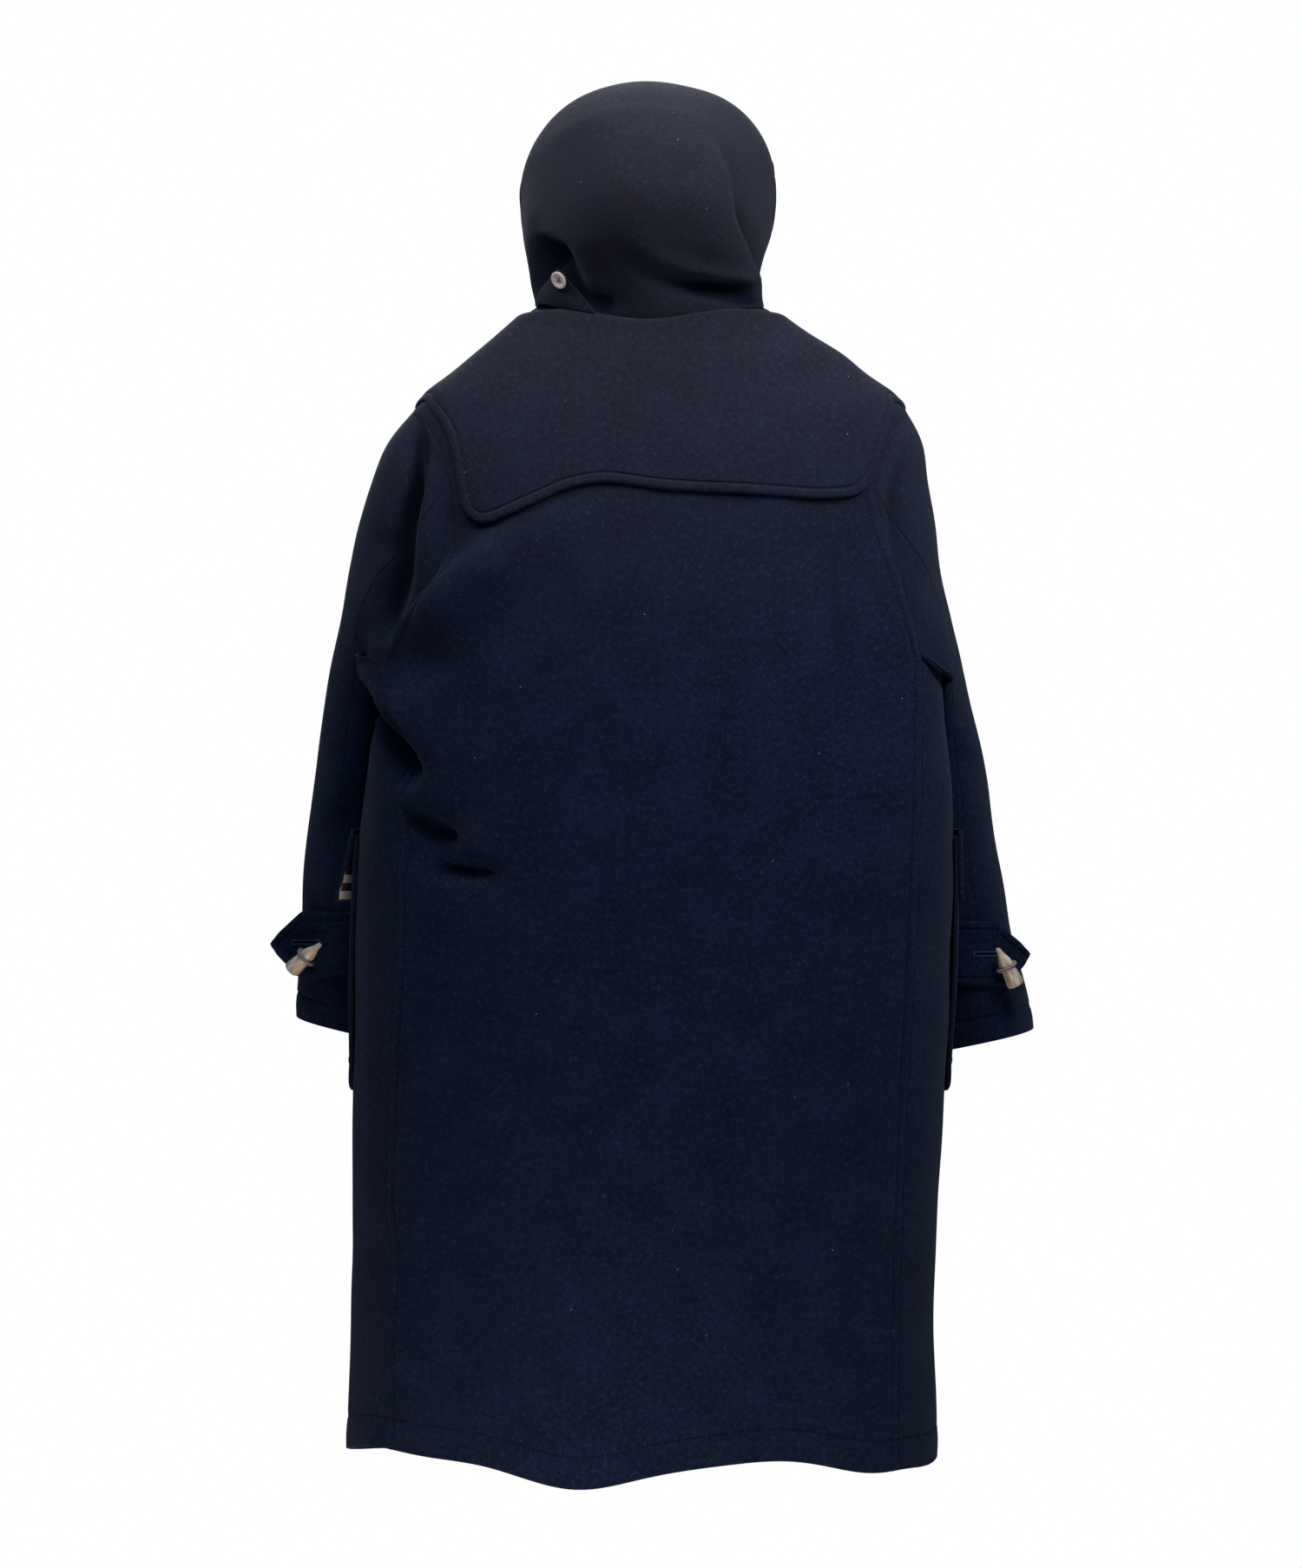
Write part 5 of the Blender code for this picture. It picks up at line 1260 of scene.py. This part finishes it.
def makePatch(name, x, z, lift, node):
    # a rectangle of the front moved out, with its edges rounded and a line sewn inside them
    thick, wide, tall = (fastening[key] for key in ("patchThickness", "patchWidth", "patchHeight"))
    across, up = patchStations(wide, 8) - wide / 2, patchStations(tall, 7)[:, None] - tall / 2
    surface = frontPoint(x + across, z + up, lift + thick)
    normal = gridNormal(surface, np.array([0, 0.05, z]))
    free, sewn = ({side: ("free", stitch) for side in ("left", "right", "bottom", "top")}
                  for stitch in (0, fastening["patchStitch"]))
    outerLift, innerLift, _ = worked(surface, free, thick)
    seams = worked(surface, sewn, thick)[2]
    piece = wallPiece(name, surface + normal * outerLift[..., None], surface + normal * innerLift[..., None],
                      panelCut(surface), seams, leatherShader(name + "Leather"))
    return dress(piece, node)


def makeLoop(name, rows, z, node):
    # a tube along the rows and back along their mirror image below the toggle
    half = np.array(rows, dtype=float) * mm
    line = np.concatenate([half, half[-2::-1] * (1, -1, 1)])
    line = between(line, np.linspace(0, len(line) - 1, 72))
    path = frontPoint(line[:, 0], z + line[:, 1], line[:, 2])
    return dress(tubePiece(name, path, fastening["cord"], cordShader(name + "Braid")), node)


lap = {"left": float(frontLap(np.array(-90.0), 1)), "right": 0.0}
underWaist = fastening["loop"]["left"][-1][2] * mm + frontToggle["cord"] + cloth["gap"] + frontToggle["waist"]
for number, z in enumerate(fastening["heights"], start=1):
    for word in sides:
        makePatch(f"patch{word.title()}{number}", fastening["patchX"][word], z,
                  lap[word] + fastening["patchLift"],
                  f"front_patch_{word}_{number}")
    for word in sides:
        makeLoop(f"loop{word.title()}{number}", fastening["loop"][word], z,
                 f"front_loop_{word}_{number}")
    toggle = hornPiece(f"toggleFront{number}", frontToggle, frontPoint(fastening["toggleX"], z, underWaist),
                       (1, 0, 0), (0, 0, 1), hornShader(f"frontHorn{number}"))
    dress(toggle, f"front_toggle_{number}")
print("toggles made")


tab = {"baseLeft": (0.101, 0.004), "baseRight": (0.047, -0.006), "tip": (0.0795, 0.0370),
       "gap": (1.5 * mm, 3.2 * mm), "width": 55 * mm, "length": 45 * mm, "step": 3.5 * mm,
       "blunt": 0.97, "raised": 0.75}
button = {"x": 0.0765, "z": 0.0275, "radius": 0.0084, "thickness": 3.2 * mm, "hole": 1.05 * mm,
          "spread": 1.9 * mm,
          # shares of radius and thickness along the profile: foot 0 to 1, side to 2, rim to 2.6, dish to 4
          "outs": ([0, 1, 2, 2.3, 2.6, 4], [0.3, 1, 1, 0.90, 0.74, 0.02]),
          "ups": ([0, 1, 1.5, 2, 2.3, 2.6, 2.9, 4], [0, 0.35, 0.7, 0.92, 1.0, 0.98, 0.66, 0.60]),
          "grey": 0.75, "thread": 0.55 * mm, "threadRise": 0.9 * mm, "crossing": 0.35 * mm}


def hoodAt(x, z, points, normals):
    # the hood's back at x and z: a narrow bell-weighted mean of its points and normals there
    back = points[..., 1] > 0.0
    points, normals = points[back], normals[back]
    near = (np.abs(points[:, 0] - x.mean()) < 0.06) & (np.abs(points[:, 2] - z.mean()) < 0.06)
    points, normals = points[near], normals[near]
    weight = np.exp(-(((x.reshape(-1, 1) - points[:, 0]) ** 2 + (z.reshape(-1, 1) - points[:, 2]) ** 2)
                      / (3.0 * mm) ** 2)) + 1e-12
    weight = weight / weight.sum(axis=1, keepdims=True)
    centre = weight @ points
    normal = unit(weight @ normals)
    # the weighted mean is moved in its own plane to x and z
    shiftX, shiftZ = x.ravel() - centre[:, 0], z.ravel() - centre[:, 2]
    y = centre[:, 1] - (normal[:, 0] * shiftX + normal[:, 2] * shiftZ) / np.clip(normal[:, 1], 0.3, None)
    return np.stack([x.ravel(), y, z.ravel()], axis=-1).reshape(*x.shape, 3), normal.reshape(*x.shape, 3)


def onHood(x, z, share):
    # places between the creased face and the plain one, and the normals of both
    (low, lowNormal), (high, highNormal) = (hoodAt(x, z, *face) for face in hoodFaces)
    return low + (high - low) * share, lowNormal, highNormal


def makeTab():
    # straight lines from the base's two ends to the tip, and straight lines across between them
    up = (stations(tab["length"], tab["step"]) / tab["length"] * tab["blunt"])[:, None]
    across = stations(tab["width"], tab["step"]) / tab["width"]
    left, right = ((np.array(tab[side])[:, None, None] * (1 - up) + np.array(tab["tip"])[:, None, None] * up)
                   for side in ("baseLeft", "baseRight"))
    x, z = left * (1 - across) + right * across
    share = (tab["raised"] * ease(0, 0.8, up))[..., None]
    place, low, high = onHood(x, z, share)
    normal = unit(low + (high - low) * share)
    gap = tab["gap"][0] + (tab["gap"][1] - tab["gap"][0]) * ease(-0.1, 0.35, up)
    surface = place + normal * (gap + cloth["thickness"])[..., None]
    piece = workedWall("hoodTab", surface, normal, {side: ("free", 0) for side in ("left", "right", "top")},
                       cloth["thickness"], woolShader("hoodTabWool"), np.stack([-x, z], axis=-1))
    return dress(piece, "hood_tab")


def makeButton():
    # a turned face with a raised rim, four dents for the holes and crossed thread
    at = np.array([button["x"]]), np.array([button["z"]])
    place, _, normal = (values[0] for values in onHood(*at, tab["raised"]))
    lift = tab["gap"][1] + cloth["thickness"] + 3 * cloth["gap"]
    axes, middle = placeAt(place + normal * lift, normal, (0, 0, 1))
    thick, spread = button["thickness"], button["spread"]
    s = np.concatenate([np.linspace(0, 0.99, 10), np.linspace(1, 2, 8), np.linspace(2.04, 4, 60)])[:, None]
    angle = np.linspace(0, 2 * np.pi, 96, endpoint=False)
    outs, ups = np.interp(s, *button["outs"]) * button["radius"], np.interp(s, *button["ups"]) * thick
    x, y = outs * np.cos(angle), outs * np.sin(angle)
    holes = np.min([np.hypot(x - a * spread, y - b * spread) for a in (-1, 1) for b in (-1, 1)], axis=0)
    dent = (1 - ease(0.75, 1.15, holes / button["hole"])) * (s > 2.6)
    points = np.stack([x, y, ups - dent * thick * 0.5], axis=-1)
    piece = roundPiece("hoodButton", points @ axes + middle, hornShader("buttonHorn", button["grey"]),
                       s.ravel() * 2 * mm)
    dress(piece, "hood_button")
    thread, t = cordShader("buttonThread"), np.linspace(-1, 1, 24)[:, None]
    for number, (a, b) in enumerate((((-1, -1), (1, 1)), ((-1, 1), (1, -1))), start=1):
        flat = (np.array(a) * (1 - t) + np.array(b) * (1 + t)) / 2 * spread * 0.95
        rise = thick * 0.60 - button["threadRise"] * t**4 + button["crossing"] * (number - 1) * (1 - t**2)
        strand = tubePiece(f"buttonThread{number}", np.concatenate([flat, rise], axis=1) @ axes + middle,
                           button["thread"], thread, 8)
        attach(strand, "root")


tabPiece = makeTab()
makeButton()
print("hood tab made")


def clothArea(piece):
    # half of the area of both faces
    return sum(polygon.area for polygon in piece.data.polygons) / 2


# what each cloth piece was cut to: width and length, area, how it is held, and what it rests on
cuts = [
    (back, (0.60, 1.10), 0.55, "hung", ["yokePanel"]),
    (fronts["left"], (0.48, 1.08), 0.44, "hung", ["yokePanel"]),
    (fronts["right"], (0.48, 1.08), 0.45, "hung", ["yokePanel"]),
    (yokePiece, (0.62, 0.42), 0.16, "draped", ["backPanel"]),
    (hoodPiece, (0.44, 0.36), 0.145, "draped", ["yokePanel"]),
    (sleeves["left"][0], (0.24, 0.58), 0.12, "hung", ["yokePanel"]),
    (sleeves["left"][1], (0.22, 0.50), 0.10, "hung", ["backPanel"]),
    (sleeves["right"][0], (0.24, 0.58), 0.12, "hung", ["yokePanel"]),
    (sleeves["right"][1], (0.22, 0.50), 0.10, "hung", ["backPanel"]),
    (pockets["left"], (0.26, 0.24), 0.06, "hung", ["frontPanelLeft"]),
    (pockets["right"], (0.26, 0.24), 0.06, "hung", ["frontPanelRight"]),
    (flaps["left"], (0.26, 0.07), 0.018, "hung", ["frontPanelLeft"]),
    (flaps["right"], (0.26, 0.07), 0.018, "hung", ["frontPanelRight"]),
    (straps["left"], (0.12, 0.061), 0.006, "hung", ["sleeveTopLeft"]),
    (straps["right"], (0.11, 0.061), 0.0055, "hung", ["sleeveTopRight"]),
    (tabPiece, (0.055, 0.045), 0.0017, "hung", ["hoodShell"]),
]
for piece, flat, area, held, restsOn in cuts:
    print("cloth", piece.name, round(clothArea(piece), 4), "cut", area)


studio = {
    "floorZ": -1.50, "floorRadius": 1.35,
    "camera": (-0.004, 16.0, -0.446), "frameHeight": 1.463, "planeY": 0.05,
    "world": 0.23, "air": (0.26, 0.46, 0.96), "aim": (0, 0, -0.45), "filmWidth": 36,
    # shares of the floor's radius and heights below it, from its underside to its middle
    "floorRings": [(1.0, -0.03), (1.0, -0.006), (0.985, 0), (0.5, 0), (0.02, 0)],
    # name, place, size, power and colour
    "lamps": [("key", (-0.68, 0.62, 0.50), 0.5, 15.5, (1.0, 0.90, 0.80)),
              ("over", (0.12, 0.56, 0.86), 0.8, 10.4, (1.0, 0.90, 0.80)),
              ("side", (0.55, 0.35, 0.62), 0.4, 5.0, (1.0, 0.90, 0.80)),
              ("low", (0.1, 0.62, -1.46), 0.5, 9.6, (1.0, 0.74, 0.55)),
              ("front", (0.3, -2.4, 0.9), 1.6, 60.0, (1.0, 0.97, 0.94))]}


def makeStudio():
    # a round pale floor, soft lamps, and a world that is white to the camera and pale blue to the cloth
    angle = np.linspace(0, 2 * np.pi, 96, endpoint=False)
    share, drop = np.array(studio["floorRings"]).T[..., None]
    radius, z = studio["floorRadius"] * share, studio["floorZ"] + drop
    rings = np.stack(np.broadcast_arrays(radius * np.cos(angle), radius * np.sin(angle), z), axis=-1)
    paint = Shader("palePaint", (0.86, 0.86, 0.85), 0.7)
    mottle = paint.noise(paint.place(), 3.0, 3)
    pale = paint.finish(paint.blend(mottle, (0.84, 0.84, 0.83), (0.88, 0.88, 0.87)))
    roundPiece("studioFloor", rings, pale, np.arange(len(rings), dtype=float))
    for name, place, size, power, colour in studio["lamps"]:
        lamp = bpy.data.lights.new(name, "AREA")
        lamp.shape, lamp.size, lamp.energy, lamp.color = "DISK", size, power, colour
        thing = bpy.data.objects.new(name, lamp)
        thing.location = place
        thing.rotation_euler = (Vector(studio["aim"]) - Vector(place)).to_track_quat("-Z", "Y").to_euler()
        bpy.context.scene.collection.objects.link(thing)
    world = bpy.data.worlds.new("softStudio")
    world.use_nodes = True
    bpy.context.scene.world = world
    tree = world.node_tree
    tree.nodes.clear()
    seen = tree.nodes.new("ShaderNodeLightPath")
    glow, white, mix = (tree.nodes.new(kind) for kind in ("ShaderNodeBackground", "ShaderNodeBackground",
                                                          "ShaderNodeMixShader"))
    glow.inputs[0].default_value, glow.inputs[1].default_value = (*studio["air"], 1), studio["world"]
    white.inputs[0].default_value, white.inputs[1].default_value = (1, 1, 1, 1), 1.0
    tree.links.new(seen.outputs["Is Camera Ray"], mix.inputs[0])
    tree.links.new(glow.outputs[0], mix.inputs[1])
    tree.links.new(white.outputs[0], mix.inputs[2])
    tree.links.new(mix.outputs[0], tree.nodes.new("ShaderNodeOutputWorld").inputs[0])
    camera = bpy.data.objects.new("camera", bpy.data.cameras.new("camera"))
    camera.location = studio["camera"]
    camera.rotation_euler = Vector((0, -1, 0)).to_track_quat("-Z", "Y").to_euler()
    camera.data.sensor_width = studio["filmWidth"]
    camera.data.lens = studio["filmWidth"] * (studio["camera"][1] - studio["planeY"]) / studio["frameHeight"]
    bpy.context.scene.collection.objects.link(camera)
    bpy.context.scene.camera = camera
    bpy.context.scene.view_settings.view_transform = "Standard"


makeStudio()
print("studio made")
